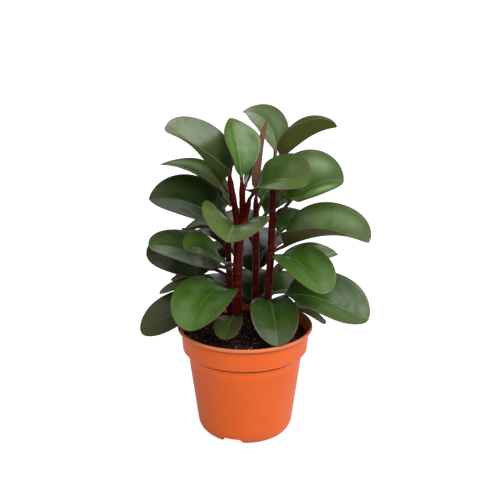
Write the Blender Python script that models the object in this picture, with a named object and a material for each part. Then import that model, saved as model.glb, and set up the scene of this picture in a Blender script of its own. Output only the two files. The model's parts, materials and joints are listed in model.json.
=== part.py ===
"""Potted red margin peperomia, as separate solids at real size.

Metres, +Z up. The origin is the centre of the pot's underside, on the surface that it stands on.
-Y is the plant's front. Sizes in the tables are millimetres, and MM turns them into metres.
"""
import math
from dataclasses import dataclass

import bmesh
import bpy
import numpy as np

MM = 0.001
GAP = 0.3                      # clear space between neighbouring pieces
UP = np.array([0.0, 0.0, 1.0])

# Driving dimensions of the pot, a 12 cm nursery pot
RIM_RADIUS = 60.0
RIM_TOP = 102.0
COLLAR_TOP_RADIUS = 56.9
COLLAR_FOOT_RADIUS = 55.7
COLLAR_TOP = 98.4
COLLAR_FOOT = 78.5
SHOULDER_RADIUS = 50.2
SHOULDER_HEIGHT = 70.5
LIP_ROUNDING = 1.3
KNEE_RADIUS = 11.0             # rounding between the foot and the wall
KNEE_TURN = -6.5               # the wall's lean, in degrees, where the rounding ends
FOOT_RADIUS = 31.6             # outer edge of the flat ring that the pot stands on
FOOT_INNER_RADIUS = 29.5
FLOOR_RADIUS = 36.5            # where the raised floor's underside meets the foot
WALL = 1.4
FLOOR_UNDERSIDE = 4.2
FLOOR_TOP = 5.8
CENTRE_FOOT_RADIUS = 12.0
POT_SEGMENTS = 40

# Slots in the foot, and the drain holes in the floor
SLOT_WIDTH_LOW = 17.0
SLOT_WIDTH_HIGH = 13.0
SLOT_HEIGHT = 3.5
SLOT_TURNS = (-108.0, 12.0, 132.0)
SLOT_REACH = (24.0, 46.0)      # how far from the pot's axis the cut for a slot starts and ends
DRAIN_RADIUS = 3.5
DRAIN_CIRCLE = 22.0
DRAIN_COUNT = 6

# Soil
SOIL_TOP = 92.5
SOIL_SEGMENTS = 30
SOIL_RINGS = (6.0, 20.0, 32.0, 43.0)
SOIL_EDGE_HEIGHT = 91.0
SOIL_CLEARANCE = 0.5           # between the soil and the pot's wall, and round each stem
STEM_HOLE_DEPTH = 22.0

# Stems
STEM_SIDES = 8
STEM_STEPS = 3

# Leaves
BLADE_EDGE = 0.7               # thickness of a blade at its margin
BLADE_MIDDLE = 1.1             # and along its midrib
PETIOLE_RADIUS = 1.6
LATERAL = (-1.0, -0.55, 0.0, 0.55, 1.0)
BLADE_STATIONS = (0.05, 0.14, 0.26, 0.4, 0.54, 0.68, 0.81, 0.92, 0.985)
NARROWEST_HALF = 0.9
ROLL_SHARE = 0.3               # share of the blade over which its roll sets in
BLEND_SHARE = 0.1              # share of the blade over which the round petiole flattens
LONGEST_PETIOLE = 0.4          # the most of a leaf's length that is petiole
CURVE_PULL = 0.38              # how far the ends' directions carry on, against the leaf's length
CURVE_POINTS = 121
LOOK_AHEAD = 0.8               # half the length over which a midrib's direction is taken


@dataclass(frozen=True)
class Stem:
    """One stem or branch: its radius at the foot and the top, and its centre line's points.

    parent is the stem that a branch grows from and is fused to.
    """
    name: str
    foot_radius: float
    top_radius: float
    path: tuple
    parent: str = ""


@dataclass(frozen=True)
class Leaf:
    """One leaf with its petiole.

    height is where the petiole leaves its stem. rise is the angle at which it leaves, droop the angle
    below level at which the tip points, and lead turns the start to the left of the straight way to the tip.
    roll turns the blade about its midrib, left side up. fold is how far each half rises from the midrib at
    the blade's base, open the same at its tip, and cup curls it further towards the margin. widest is the
    share of the blade's length at its widest place. A larger taper makes the outline's ends more pointed.
    """
    name: str
    stem: str
    height: float
    tip: tuple
    rise: float
    droop: float
    width: float
    roll: float = 0.0
    fold: float = 18.0
    open: float = 8.0
    cup: float = 12.0
    lead: float = 0.0
    petiole: float = 8.0
    widest: float = 0.53
    taper: float = 1.12


STEMS = (
    Stem("front_stem", 4.8, 4.4, ((-8, 4, 72), (-8, 4, 100), (-7, 3, 132), (-6, 2, 162), (-4.5, 0, 190))),
    Stem("front_left_branch", 3.3, 2.6, ((-5, 0, 182), (-7.5, 0.5, 202), (-10.5, 1, 220), (-13, 1, 236)),
         "front_stem"),
    Stem("front_middle_branch", 3.1, 2.6, ((-4, 0, 182), (-2, -1, 202), (-2.2, -1, 218), (-2.5, -1, 231)),
         "front_stem"),
    Stem("front_right_branch", 2.9, 2.4, ((-3, 0, 182), (0.5, -2.5, 201), (4, -4.5, 218)), "front_stem"),
    Stem("right_stem", 4.1, 2.7,
         ((19, 6, 72), (19, 6, 100), (21, 7, 135), (23, 8, 170), (24, 10, 210), (24.5, 12, 246))),
    Stem("back_stem", 3.9, 2.6, ((8, 27, 72), (8, 27, 100), (9.5, 27, 135), (10, 25, 172), (9.5, 21, 211))),
    Stem("side_stem", 3.6, 2.4,
         ((-13, 24, 72), (-13, 24, 100), (-14, 25, 130), (-15, 26, 160), (-15, 26, 190))),
)

LEAVES = (
    # Leaves on the front stem and its branches, from the soil up
    Leaf("front_leaf_01", "front_stem", 106, (-17, -47, 106), 25, 30, 24, 0, 10, 5),
    Leaf("front_leaf_02", "front_stem", 128, (-46, -60, 119), 35, 40, 54, -8, 14, 8, lead=-15, petiole=3),
    Leaf("front_leaf_03", "front_stem", 156, (-50, -40, 185), 18, 5, 34, -33, 14, 8),
    Leaf("front_leaf_04", "front_stem", 150, (-82, -20, 181), 22, 0, 44, -24, 10, 2),
    Leaf("front_leaf_05", "front_stem", 187, (-13, -76, 202), 30, 22, 63, -12, 29, 14),
    Leaf("front_leaf_06", "front_stem", 180, (-82, -5, 218), 47, 8, 57, -27, 20, 6, widest=0.54, taper=1.75),
    Leaf("front_leaf_07", "front_left_branch", 206, (-74, 12, 244), 50, 6, 36, -8, 30, 12,
         widest=0.34, taper=1.6),
    Leaf("front_leaf_08", "front_left_branch", 218, (-67.5, 0, 278.5), 54, -22, 61, -14, 44, 8, 16,
         widest=0.5, taper=0.95),
    Leaf("front_leaf_09", "front_middle_branch", 238, (-12.5, 17.5, 284), 80, -70, 44, 12, 32, 20,
         petiole=1, taper=1.4),
    Leaf("front_leaf_10", "front_right_branch", 222, (50.5, -36, 238), 55, 18, 54, 24, 18, 12, petiole=2),
    Leaf("front_shoot_01", "front_middle_branch", 222, (6.5, 13, 243), 45, -50, 8, 0, 30, 20, petiole=4),
    Leaf("front_shoot_02", "front_left_branch", 240, (-10, 12, 250), 60, -50, 7, 0, 30, 20, petiole=3),
    # Leaves on the right stem
    Leaf("right_leaf_01", "right_stem", 107, (28, -52, 102), 70, 55, 43, 0, 12, 8),
    Leaf("right_leaf_02", "right_stem", 118, (107.5, -20, 113), 35, 20, 55, 28, 24, 16, petiole=11),
    Leaf("right_leaf_03", "right_stem", 112, (71, 10, 97), 20, 35, 40, -14, 12, 8, petiole=18),
    Leaf("right_leaf_04", "right_stem", 162, (69, -45, 147), 21, 40, 44, 10, 12, 8, widest=0.48, taper=0.85),
    Leaf("right_leaf_05", "right_stem", 166, (106, -20, 184), 30, 20, 59, 16, 50, 26, widest=0.5, taper=1.1),
    Leaf("right_leaf_06", "right_stem", 187, (84.5, 0, 232), 64, 5, 65, 46, 40, 34, petiole=20, widest=0.46),
    Leaf("right_leaf_07", "right_stem", 252, (78, 5, 278.5), 37, -8, 36, 2, 58, 58, petiole=2, widest=0.46),
    Leaf("right_leaf_08", "right_stem", 252, (-2, 58.5, 281), 41, 8, 34, 0, 18, 10, lead=-46, petiole=7),
    Leaf("right_leaf_09", "right_stem", 172, (72, 54, 176), 45, 15, 44, 10, 22, 10, lead=8),
    Leaf("right_leaf_10", "right_stem", 142, (83, 38, 155), 33, 5, 34, 10, 16, 10),
    Leaf("right_shoot_01", "right_stem", 132, (33, -8, 162), 50, -40, 9, 0, 30, 20, petiole=5),
    Leaf("right_shoot_02", "right_stem", 204, (33, 4, 223), 50, -60, 9, 0, 40, 40, petiole=5),
    # Leaves on the back stem, most of which the front hides
    Leaf("back_leaf_01", "back_stem", 214, (20, 15.5, 284.5), 80, -75, 14, 6, 60, 30,
         petiole=2, widest=0.36),
    Leaf("back_leaf_02", "back_stem", 197, (50, 84, 218), 48, 10, 40, 0, 20, 10),
    Leaf("back_leaf_03", "back_stem", 186, (75, 72, 204), 40, 10, 46, 0, 20, 10),
    Leaf("back_leaf_04", "back_stem", 162, (-32, 96, 172), 45, 10, 46, 0, 20, 10),
    Leaf("back_leaf_05", "back_stem", 146, (48, 95, 152), 40, 15, 46, 0, 18, 8),
    Leaf("back_leaf_06", "back_stem", 126, (2, 86, 156), 50, -10, 44, 0, 16, 8),
    Leaf("back_leaf_07", "back_stem", 108, (66, 52, 113), 38, 12, 50, 8, 16, 8),
    Leaf("back_leaf_08", "back_stem", 102, (7, 74, 127), 38, -12, 36, 0, 16, 8),
    Leaf("back_leaf_09", "back_stem", 97.5, (9, 80, 105), 34, 20, 44, 0, 10, 5, petiole=6),
    # Leaves on the side stem
    Leaf("side_leaf_01", "side_stem", 106, (-91.5, -8, 95), 33, 30, 47, -14, 10, 0),
    Leaf("side_leaf_02", "side_stem", 127, (-78, 26, 120.5), 24, 15, 29, 0, 10, 8),
    Leaf("side_leaf_03", "side_stem", 136, (-67, 54, 122), 28, 18, 34, 10, 12, 8),
    Leaf("side_leaf_04", "side_stem", 145, (-87, 8, 163), 12, 0, 47, -36, 10, 4),
    Leaf("side_leaf_05", "side_stem", 174, (-55, 35, 177), 40, 20, 34, 0, 20, 10),
    Leaf("side_leaf_06", "side_stem", 194, (-48, 66, 214), 55, 0, 40, 0, 24, 12, petiole=6),
    Leaf("side_leaf_07", "side_stem", 158, (-50, 84, 160), 40, 15, 44, 0, 20, 10),
    Leaf("side_leaf_08", "side_stem", 142, (-48, 84, 147), 42, 0, 38, 0, 18, 10),
    Leaf("side_leaf_09", "side_stem", 106, (-44, 71, 120), 43, 0, 37, 0, 16, 8),
)

POT_COLOUR = (0.78, 0.20, 0.06)
SOIL_COLOUR = (0.03, 0.018, 0.013)
STEM_COLOUR = (0.13, 0.012, 0.016)
LEAF_COLOUR = (0.055, 0.16, 0.04)


def clear_scene():
    """Remove every object that the scene starts with."""
    for item in list(bpy.data.objects):
        bpy.data.objects.remove(item, do_unlink=True)


def finish(name, colour, roughness, coat=0.0):
    """Return a Principled material."""
    material = bpy.data.materials.new(name)
    material.use_nodes = True
    shader = material.node_tree.nodes["Principled BSDF"]
    shader.inputs["Base Color"].default_value = (*colour, 1.0)
    shader.inputs["Roughness"].default_value = roughness
    shader.inputs["Metallic"].default_value = 0.0
    shader.inputs["Coat Weight"].default_value = coat
    material.diffuse_color = (*colour, 1.0)
    return material


def add_object(name, mesh, material, sharp_angle=40.0):
    """Link a mesh as a smooth-shaded object with its material."""
    mesh.shade_smooth()
    mesh.set_sharp_from_angle(angle=math.radians(sharp_angle))
    mesh.materials.append(material)
    item = bpy.data.objects.new(name, mesh)
    bpy.context.scene.collection.objects.link(item)
    return item


def apply_modifiers(item):
    """Replace an object's mesh by its evaluated mesh, and drop its modifiers."""
    depsgraph = bpy.context.evaluated_depsgraph_get()
    mesh = bpy.data.meshes.new_from_object(item.evaluated_get(depsgraph))
    item.modifiers.clear()
    item.data = mesh


def combine(item, others, operation):
    """Join other closed bodies to an object, or cut them from it, with one Boolean."""
    group = bpy.data.collections.new(item.name + "_tools")
    for other in others:
        group.objects.link(other)
    modifier = item.modifiers.new("combine", "BOOLEAN")
    modifier.operation = operation
    modifier.operand_type = "COLLECTION"
    modifier.collection = group
    modifier.solver = "EXACT"
    apply_modifiers(item)
    for other in others:
        bpy.data.objects.remove(other, do_unlink=True)
    bpy.data.collections.remove(group)


def unit(vector):
    """Return a vector at length 1."""
    return vector / np.linalg.norm(vector)


def direction(heading, elevation):
    """Return the unit vector with a heading about Z and an angle above level, both in radians."""
    level = math.cos(elevation)
    return np.array([math.cos(heading) * level, math.sin(heading) * level, math.sin(elevation)])


def arc(centre_r, centre_z, radius, start, end, steps):
    """Return points (r, z) along an arc, with angles in degrees."""
    angles = np.radians(np.linspace(start, end, steps + 1))
    return [(centre_r + radius * math.cos(a), centre_z + radius * math.sin(a)) for a in angles]


def loft(name, rings, mirror_half=False):
    """Return a closed mesh through rings of equal size, with an end cap on the first and the last.

    With mirror_half, the first half of each ring lies over the second half, so the halves' faces are split
    alike and each cap is a ladder between them. Otherwise a cap is a fan from the ring's middle.
    """
    count = len(rings[0])
    points = [tuple(p * MM) for ring in rings for p in ring]
    faces = []
    for row in range(len(rings) - 1):
        low = row * count
        high = low + count
        for i in range(count):
            j = (i + 1) % count
            if mirror_half and i < count // 2:
                faces += [(low + i, low + j, high + i), (low + j, high + j, high + i)]
            else:
                faces += [(low + i, low + j, high + j), (low + i, high + j, high + i)]
    top = (len(rings) - 1) * count
    if mirror_half:
        for i in range(count // 2 - 1):
            far = count - 1 - i
            faces += [(i, far, i + 1), (i + 1, far, far - 1)]
            faces += [(top + i, top + i + 1, top + far), (top + i + 1, top + far - 1, top + far)]
    else:
        points.append(tuple(np.mean(rings[0], axis=0) * MM))
        points.append(tuple(np.mean(rings[-1], axis=0) * MM))
        first = len(points) - 2
        last = len(points) - 1
        for i in range(count):
            j = (i + 1) % count
            faces += [(first, j, i), (last, top + i, top + j)]
    mesh = bpy.data.meshes.new(name)
    mesh.from_pydata(points, [], faces)
    mesh.validate()
    return mesh


def spin_profile(name, profile, segments):
    """Return the closed solid that a profile of (r, z) points in mm makes when it is turned about Z."""
    body = bmesh.new()
    corners = [body.verts.new((r * MM, 0.0, z * MM)) for r, z in profile]
    edges = [body.edges.new(pair) for pair in zip(corners, corners[1:])]
    bmesh.ops.spin(body, geom=corners + edges, cent=(0, 0, 0), axis=(0, 0, 1), angle=math.tau,
                   steps=segments, use_merge=True)
    bmesh.ops.remove_doubles(body, verts=body.verts, dist=0.01 * MM)
    bmesh.ops.recalc_face_normals(body, faces=body.faces)
    bmesh.ops.triangulate(body, faces=body.faces)
    mesh = bpy.data.meshes.new(name)
    body.to_mesh(mesh)
    body.free()
    return mesh


def pot_outside():
    """Return the pot's outer profile, from the foot to the top of the rim."""
    knee = arc(FOOT_RADIUS, KNEE_RADIUS, KNEE_RADIUS, -90, KNEE_TURN, 4)
    return knee + [
        (SHOULDER_RADIUS, SHOULDER_HEIGHT),
        (COLLAR_FOOT_RADIUS, COLLAR_FOOT),
        (COLLAR_TOP_RADIUS, COLLAR_TOP),
        (RIM_RADIUS - LIP_ROUNDING, COLLAR_TOP + 0.2),
        (RIM_RADIUS, COLLAR_TOP + LIP_ROUNDING),
        (RIM_RADIUS, RIM_TOP - LIP_ROUNDING),
        (RIM_RADIUS - 0.4 * LIP_ROUNDING, RIM_TOP - 0.4 * LIP_ROUNDING),
        (RIM_RADIUS - 1.4 * LIP_ROUNDING, RIM_TOP),
        (COLLAR_TOP_RADIUS + 0.6, RIM_TOP - 0.3),
    ]


def pot_inside(offset=0.0):
    """Return the pot's inner profile from the collar to the floor, moved inwards by an offset."""
    step = WALL + offset
    knee = arc(FOOT_RADIUS, FLOOR_TOP + KNEE_RADIUS - WALL, KNEE_RADIUS - step, KNEE_TURN, -90, 3)
    return [
        (COLLAR_TOP_RADIUS - step, COLLAR_TOP),
        (COLLAR_FOOT_RADIUS - step, COLLAR_FOOT + 0.5),
        (SHOULDER_RADIUS - step, SHOULDER_HEIGHT + 0.5),
    ] + knee


def build_pot(material):
    """Make the pot: a turned shell with three slots in its foot and drain holes in its floor."""
    profile = [
        (0.0, 0.0),
        (CENTRE_FOOT_RADIUS, 0.0),
        (CENTRE_FOOT_RADIUS + 1.0, FLOOR_UNDERSIDE),
        (FLOOR_RADIUS, FLOOR_UNDERSIDE),
        (FOOT_INNER_RADIUS, 0.0),
    ]
    profile += pot_outside()
    profile.append((COLLAR_TOP_RADIUS - WALL + 0.5, RIM_TOP - LIP_ROUNDING))
    profile += pot_inside()
    profile.append((0.0, FLOOR_TOP))
    pot = add_object("pot", spin_profile("pot", profile, POT_SEGMENTS), material, 25.0)
    cutters = [slot_cutter(turn) for turn in SLOT_TURNS]
    for number in range(DRAIN_COUNT):
        turn = math.tau * (number + 0.5) / DRAIN_COUNT
        centre = (DRAIN_CIRCLE * math.cos(turn), DRAIN_CIRCLE * math.sin(turn))
        cutters.append(cylinder_cutter(centre, DRAIN_RADIUS, FLOOR_UNDERSIDE - 2.0, FLOOR_TOP + 2.0, 12))
    combine(pot, cutters, "DIFFERENCE")
    return pot


def hide_cutter(item):
    """Mark an object as a cutter."""
    item.hide_render = True
    item.display_type = "WIRE"
    return item


def slot_cutter(turn):
    """Return a wedge with sloped sides that runs outwards through the foot."""
    low = SLOT_WIDTH_LOW / 2
    high = SLOT_WIDTH_HIGH / 2
    below = -2.0
    spread = low - (low - high) * below / SLOT_HEIGHT
    section = [(-spread, below), (spread, below), (high, SLOT_HEIGHT), (-high, SLOT_HEIGHT)]
    angle = math.radians(turn)
    out = np.array([math.cos(angle), math.sin(angle), 0.0])
    side = np.array([-math.sin(angle), math.cos(angle), 0.0])
    rings = [[out * reach + side * x + UP * z for x, z in section] for reach in SLOT_REACH]
    item = bpy.data.objects.new("slot_cutter", loft("slot_cutter", rings))
    return hide_cutter(item)


def cylinder_cutter(centre, radius, low, high, sides):
    """Return an upright cylinder for cutting a hole."""
    rings = [level_ring(radius, z, sides) + np.array([*centre, 0.0]) for z in (low, high)]
    item = bpy.data.objects.new("hole_cutter", loft("hole_cutter", rings))
    return hide_cutter(item)


def level_ring(radius, z, sides):
    """Return the points of a level circle round the Z axis."""
    turns = np.linspace(0, math.tau, sides, endpoint=False)
    return np.array([(radius * math.cos(t), radius * math.sin(t), z) for t in turns])


def soil_height(x, y):
    """Return the height of the soil's uneven surface in mm."""
    bumps = 0.7 * math.sin(0.19 * x + 0.6) * math.cos(0.17 * y) + 0.5 * math.sin(0.31 * y - 0.23 * x)
    return SOIL_TOP + bumps


def build_soil(material):
    """Make the soil, which fills the pot, with a plain hole for each stem."""
    outline = list(reversed(pot_inside(SOIL_CLEARANCE)[1:]))
    outline.append((COLLAR_TOP_RADIUS - WALL - SOIL_CLEARANCE - 0.5, SOIL_EDGE_HEIGHT))
    rings = [level_ring(r, z, SOIL_SEGMENTS) for r, z in outline]
    for r in reversed(SOIL_RINGS):
        ring = level_ring(r, 0.0, SOIL_SEGMENTS)
        rings.append(np.array([(x, y, soil_height(x, y)) for x, y, _ in ring]))
    soil = add_object("soil", loft("soil", rings), material, 60.0)
    cutters = []
    for stem in STEMS:
        if not stem.parent:
            hole = stem.foot_radius + SOIL_CLEARANCE
            cutters.append(cylinder_cutter(stem.path[0][:2], hole, SOIL_TOP - STEM_HOLE_DEPTH, RIM_TOP, 16))
    combine(soil, cutters, "DIFFERENCE")
    return soil


def smooth_path(points, steps):
    """Return a smooth curve through points, with a number of steps between each pair."""
    nodes = [np.array(p, float) for p in points]
    nodes = [2 * nodes[0] - nodes[1]] + nodes + [2 * nodes[-1] - nodes[-2]]
    curve = []
    for i in range(1, len(nodes) - 2):
        a, b, c, d = nodes[i - 1:i + 3]
        square = 2 * a - 5 * b + 4 * c - d
        cube = 3 * b - a - 3 * c + d
        for t in np.arange(steps) / steps:
            curve.append(b + 0.5 * ((c - a) * t + square * t ** 2 + cube * t ** 3))
    curve.append(nodes[-2])
    return np.array(curve)


def stem_point(stem, height):
    """Return the centre, the direction and the radius of a stem at a height."""
    curve = smooth_path(stem.path, STEM_STEPS)
    level = min(max(height, curve[0, 2]), curve[-1, 2])
    centre = np.array([np.interp(level, curve[:, 2], curve[:, k]) for k in range(3)])
    index = min(int(np.searchsorted(curve[:, 2], level)), len(curve) - 1)
    along = unit(curve[max(index, 1)] - curve[max(index, 1) - 1])
    share = (level - curve[0, 2]) / (curve[-1, 2] - curve[0, 2])
    radius = stem.foot_radius + (stem.top_radius - stem.foot_radius) * share
    return centre, along, radius


def tube(stem):
    """Return the closed tube of one stem or branch, with a rounded top."""
    curve = smooth_path(stem.path, STEM_STEPS)
    turns = np.linspace(0, math.tau, STEM_SIDES, endpoint=False)
    side = np.array([1.0, 0.0, 0.0])
    rings = []
    for i, centre in enumerate(curve):
        along = unit(curve[min(i + 1, len(curve) - 1)] - curve[max(i - 1, 0)])
        across = unit(side - along * side.dot(along))
        other = np.cross(along, across)
        radius = stem_point(stem, centre[2])[2]
        rings.append([centre + radius * (across * math.cos(t) + other * math.sin(t)) for t in turns])
    cap = rings[-1]
    middle = np.mean(cap, axis=0)
    rings.append([middle + (p - middle) * 0.6 + along * stem.top_radius * 0.5 for p in cap])
    return loft(stem.name, rings)


def build_stems(material):
    """Make each stem that stands in the soil, with its branches fused to it."""
    for stem in STEMS:
        if stem.parent:
            continue
        item = add_object(stem.name, tube(stem), material)
        branches = [bpy.data.objects.new(b.name, tube(b)) for b in STEMS if b.parent == stem.name]
        if branches:
            combine(item, branches, "UNION")


def bezier(a, b, c, d, t):
    """Return points of a cubic curve, one for each value of t."""
    t = t[:, None]
    return a * (1 - t) ** 3 + 3 * b * t * (1 - t) ** 2 + 3 * c * t ** 2 * (1 - t) + d * t ** 3


def leaf_midrib(leaf):
    """Return the midrib's points from the stem to the tip, the start's plane, and the lateral direction."""
    stem = next(s for s in STEMS if s.name == leaf.stem)
    root, along, radius = stem_point(stem, leaf.height)
    tip = np.array(leaf.tip, float)
    reach = tip - root
    heading = math.atan2(reach[1], reach[0])
    lead, rise, droop = np.radians((leaf.lead, leaf.rise, leaf.droop))
    start = direction(heading + lead, rise)
    end = direction(heading - lead, -droop)
    terminal = leaf.height > stem.path[-1][2]
    outward = start if terminal else unit(start - along * start.dot(along))
    clear = radius + GAP + (1.0 if terminal else 0.0)
    base = root + start * clear / start.dot(outward)
    pull = CURVE_PULL * np.linalg.norm(tip - base)
    curve = bezier(base, base + start * pull, tip - end * pull, tip, np.linspace(0, 1, CURVE_POINTS))
    side = np.array([-math.sin(heading), math.cos(heading), 0.0])
    return curve, root + outward * clear, outward, side


def blade_half_width(leaf, u):
    """Return the blade's half width at a share u of its length."""
    p = leaf.widest * leaf.taper
    q = (1 - leaf.widest) * leaf.taper
    peak = leaf.widest ** p * (1 - leaf.widest) ** q
    return leaf.width / 2 * u ** p * (1 - u) ** q / peak


def half_section(width, fold, cup, share):
    """Return how far out and up a point of a curled half blade lies, and the slope there."""
    slope = fold + cup * share
    out = width * (math.sin(slope) - math.sin(fold)) / cup
    up = width * (math.cos(fold) - math.cos(slope)) / cup
    return out, up, slope


def smooth_step(value):
    """Return a value from 0 to 1 eased at both ends."""
    share = min(max(value, 0.0), 1.0)
    return share * share * (3 - 2 * share)


def leaf_ring(leaf, centre, along, side, u):
    """Return the ring of points round the leaf at a share u of the blade, below 0 on the petiole.

    The ring runs over the upper face from left to right, and back under the lower one.
    """
    level = unit(side - along * side.dot(along))
    upright = np.cross(along, level)
    roll = math.radians(leaf.roll) * smooth_step(u / ROLL_SHARE)
    across = level * math.cos(roll) + upright * math.sin(roll)
    above = upright * math.cos(roll) - level * math.sin(roll)
    count = len(LATERAL)
    turns = np.radians([180 - 180 * (i + 0.5) / count for i in range(count)])
    top = [centre + PETIOLE_RADIUS * (across * math.cos(t) + above * math.sin(t)) for t in turns]
    low = [centre + PETIOLE_RADIUS * (across * math.cos(t) - above * math.sin(t)) for t in turns]
    if u > 0:
        fold = math.radians(leaf.fold + (leaf.open - leaf.fold) * u)
        half = max(blade_half_width(leaf, u), NARROWEST_HALF)
        blend = smooth_step(u / BLEND_SHARE)
        for i, share in enumerate(LATERAL):
            out, up, slope = half_section(half, fold, math.radians(leaf.cup), abs(share))
            sideways = np.sign(share)
            point = centre + across * out * sideways + above * up
            normal = above if share == 0 else above * math.cos(slope) - across * math.sin(slope) * sideways
            thick = BLADE_MIDDLE + (BLADE_EDGE - BLADE_MIDDLE) * abs(share)
            top[i] = top[i] + (point + normal * thick / 2 - top[i]) * blend
            low[i] = low[i] + (point - normal * thick / 2 - low[i]) * blend
    return top + low[::-1]


def leaf_mesh(leaf):
    """Return the closed mesh of one leaf."""
    curve, plane_point, outward, side = leaf_midrib(leaf)
    steps = np.linalg.norm(np.diff(curve, axis=0), axis=1)
    travelled = np.concatenate([[0.0], np.cumsum(steps)])
    total = travelled[-1]
    begin = min(leaf.petiole, total * LONGEST_PETIOLE)
    distances = [(0.0, -1.0), (begin * 0.5, -1.0), (begin, 0.0)]
    distances += [(begin + (total - begin) * u, u) for u in BLADE_STATIONS]
    rings = []
    for distance, u in distances:
        centre, ahead, behind = (
            np.array([np.interp(distance + step, travelled, curve[:, k]) for k in range(3)])
            for step in (0.0, LOOK_AHEAD, -LOOK_AHEAD))
        along = unit(ahead - behind)
        ring = leaf_ring(leaf, centre, along, side, u)
        if distance == 0.0:
            ring = [p + along * (plane_point - p).dot(outward) / along.dot(outward) for p in ring]
        rings.append(ring)
    return loft(leaf.name, [ring[::-1] for ring in rings], mirror_half=True)


def build_leaves(material):
    """Make every leaf as its own solid."""
    for leaf in LEAVES:
        add_object(leaf.name, leaf_mesh(leaf), material, 60.0)


def main():
    """Build the plant and its pot."""
    clear_scene()
    build_pot(finish("orange_plastic", POT_COLOUR, 0.5))
    build_soil(finish("dark_soil", SOIL_COLOUR, 0.95))
    build_stems(finish("red_stem", STEM_COLOUR, 0.35, 0.2))
    build_leaves(finish("green_leaf", LEAF_COLOUR, 0.35, 0.2))


main()
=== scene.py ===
"""Looks of the potted red margin peperomia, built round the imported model.

Object frame: metres, +Z up, origin at the centre of the pot's underside, -Y towards the plant's front.
Sizes in the tables and the classes are millimetres, and MM turns them into metres.
"""
import json
import logging
import math
import random
from dataclasses import dataclass
from enum import Enum
from typing import Callable

import bpy
import numpy as np
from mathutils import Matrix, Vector, noise

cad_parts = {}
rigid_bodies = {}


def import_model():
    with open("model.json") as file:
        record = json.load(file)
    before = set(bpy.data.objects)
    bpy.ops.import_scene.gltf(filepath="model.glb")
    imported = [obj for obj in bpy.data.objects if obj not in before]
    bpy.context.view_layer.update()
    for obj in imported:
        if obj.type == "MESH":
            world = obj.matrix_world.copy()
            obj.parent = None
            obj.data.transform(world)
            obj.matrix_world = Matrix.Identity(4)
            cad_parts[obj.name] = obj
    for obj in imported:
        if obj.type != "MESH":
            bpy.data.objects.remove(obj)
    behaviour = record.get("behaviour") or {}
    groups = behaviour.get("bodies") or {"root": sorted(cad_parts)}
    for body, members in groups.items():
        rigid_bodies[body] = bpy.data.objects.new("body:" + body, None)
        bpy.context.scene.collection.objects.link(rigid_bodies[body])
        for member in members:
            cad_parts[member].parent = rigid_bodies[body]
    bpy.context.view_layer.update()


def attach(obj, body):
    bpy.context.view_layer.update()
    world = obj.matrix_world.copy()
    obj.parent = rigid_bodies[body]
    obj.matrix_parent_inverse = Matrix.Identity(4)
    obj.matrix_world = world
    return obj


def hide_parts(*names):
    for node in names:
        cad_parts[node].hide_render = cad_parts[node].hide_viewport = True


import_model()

MM = 0.001
GAP = 0.3                      # clear space that the solids keep to their stem
DOUBLED = 0.002                # points closer than this are one
BODY = "root"
FULL = 1.0                     # the strength of a coat that covers wholly
WHITE = (1.0, 1.0, 1.0)
LOG = logging.getLogger("peperomia")

Piece = bpy.types.Object
Material = bpy.types.Material
Socket = bpy.types.NodeSocket
Tree = bpy.types.NodeTree
Colour = tuple[float, float, float]
Point = tuple[float, float, float]
Profile = list[tuple[float, float]]        # (r, z) points in mm
Band = tuple[float, ...]                   # where a mask starts and ends, and its values there if not 0 and 1


class Slot(Enum):
    """The record's material slots."""

    PLASTIC = "orange_plastic"
    SOIL = "dark_soil"
    STEM = "red_stem"
    LEAF = "green_leaf"


class Tone(Enum):
    """How light a leaf is: old leaves are grey and young ones bright; the darkest tone is painted shade for
    leaves that stand in shade, and the two palest are painted sheen for leaves that catch the light.
    """

    # Painted shade: a darker copy of the leaves' green for leaves that stand in shade.
    DEEP = "deep"
    GREEN = "green"
    BRIGHT = "bright"
    GREY = "grey"
    OLIVE = "olive"
    # Painted sheen: a lighter copy for leaves that catch the light at a grazing angle.
    GRAZING_SHEEN = "grazing_sheen"
    # Painted sheen: the lightest copy, for leaves that face the light.
    STRONG_SHEEN = "pale"
    FOREST = "forest"
    MOSS = "moss"
    SHOOT = "shoot"
    BRONZE = "bronze"


@dataclass(frozen=True)
class Stem:
    """One stem or branch: its radius at the foot and the top, and its centre line's points.

    parent is the stem that a branch grows from and is fused to.
    """

    name: str
    foot_radius: float
    top_radius: float
    path: tuple[Point, ...]
    parent: str = ""


@dataclass(frozen=True)
class Leaf:
    """One leaf with its petiole.

    height is where the petiole leaves its stem. rise is the angle at which it leaves, droop the angle
    below level at which the tip points, and lead turns the start to the left of the straight way to the tip.
    roll turns the blade about its midrib, left side up. fold is how far each half rises from the midrib at
    the blade's base, open the same at its tip, and cup curls it further towards the margin. widest is the
    share of the blade's length at its widest place. A larger taper makes the outline's ends more pointed.
    """

    name: str
    stem: str
    height: float
    tip: Point
    rise: float
    droop: float
    width: float
    roll: float = 0.0
    fold: float = 18.0
    open: float = 8.0
    cup: float = 12.0
    lead: float = 0.0
    petiole: float = 8.0
    widest: float = 0.53
    taper: float = 1.12


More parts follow.
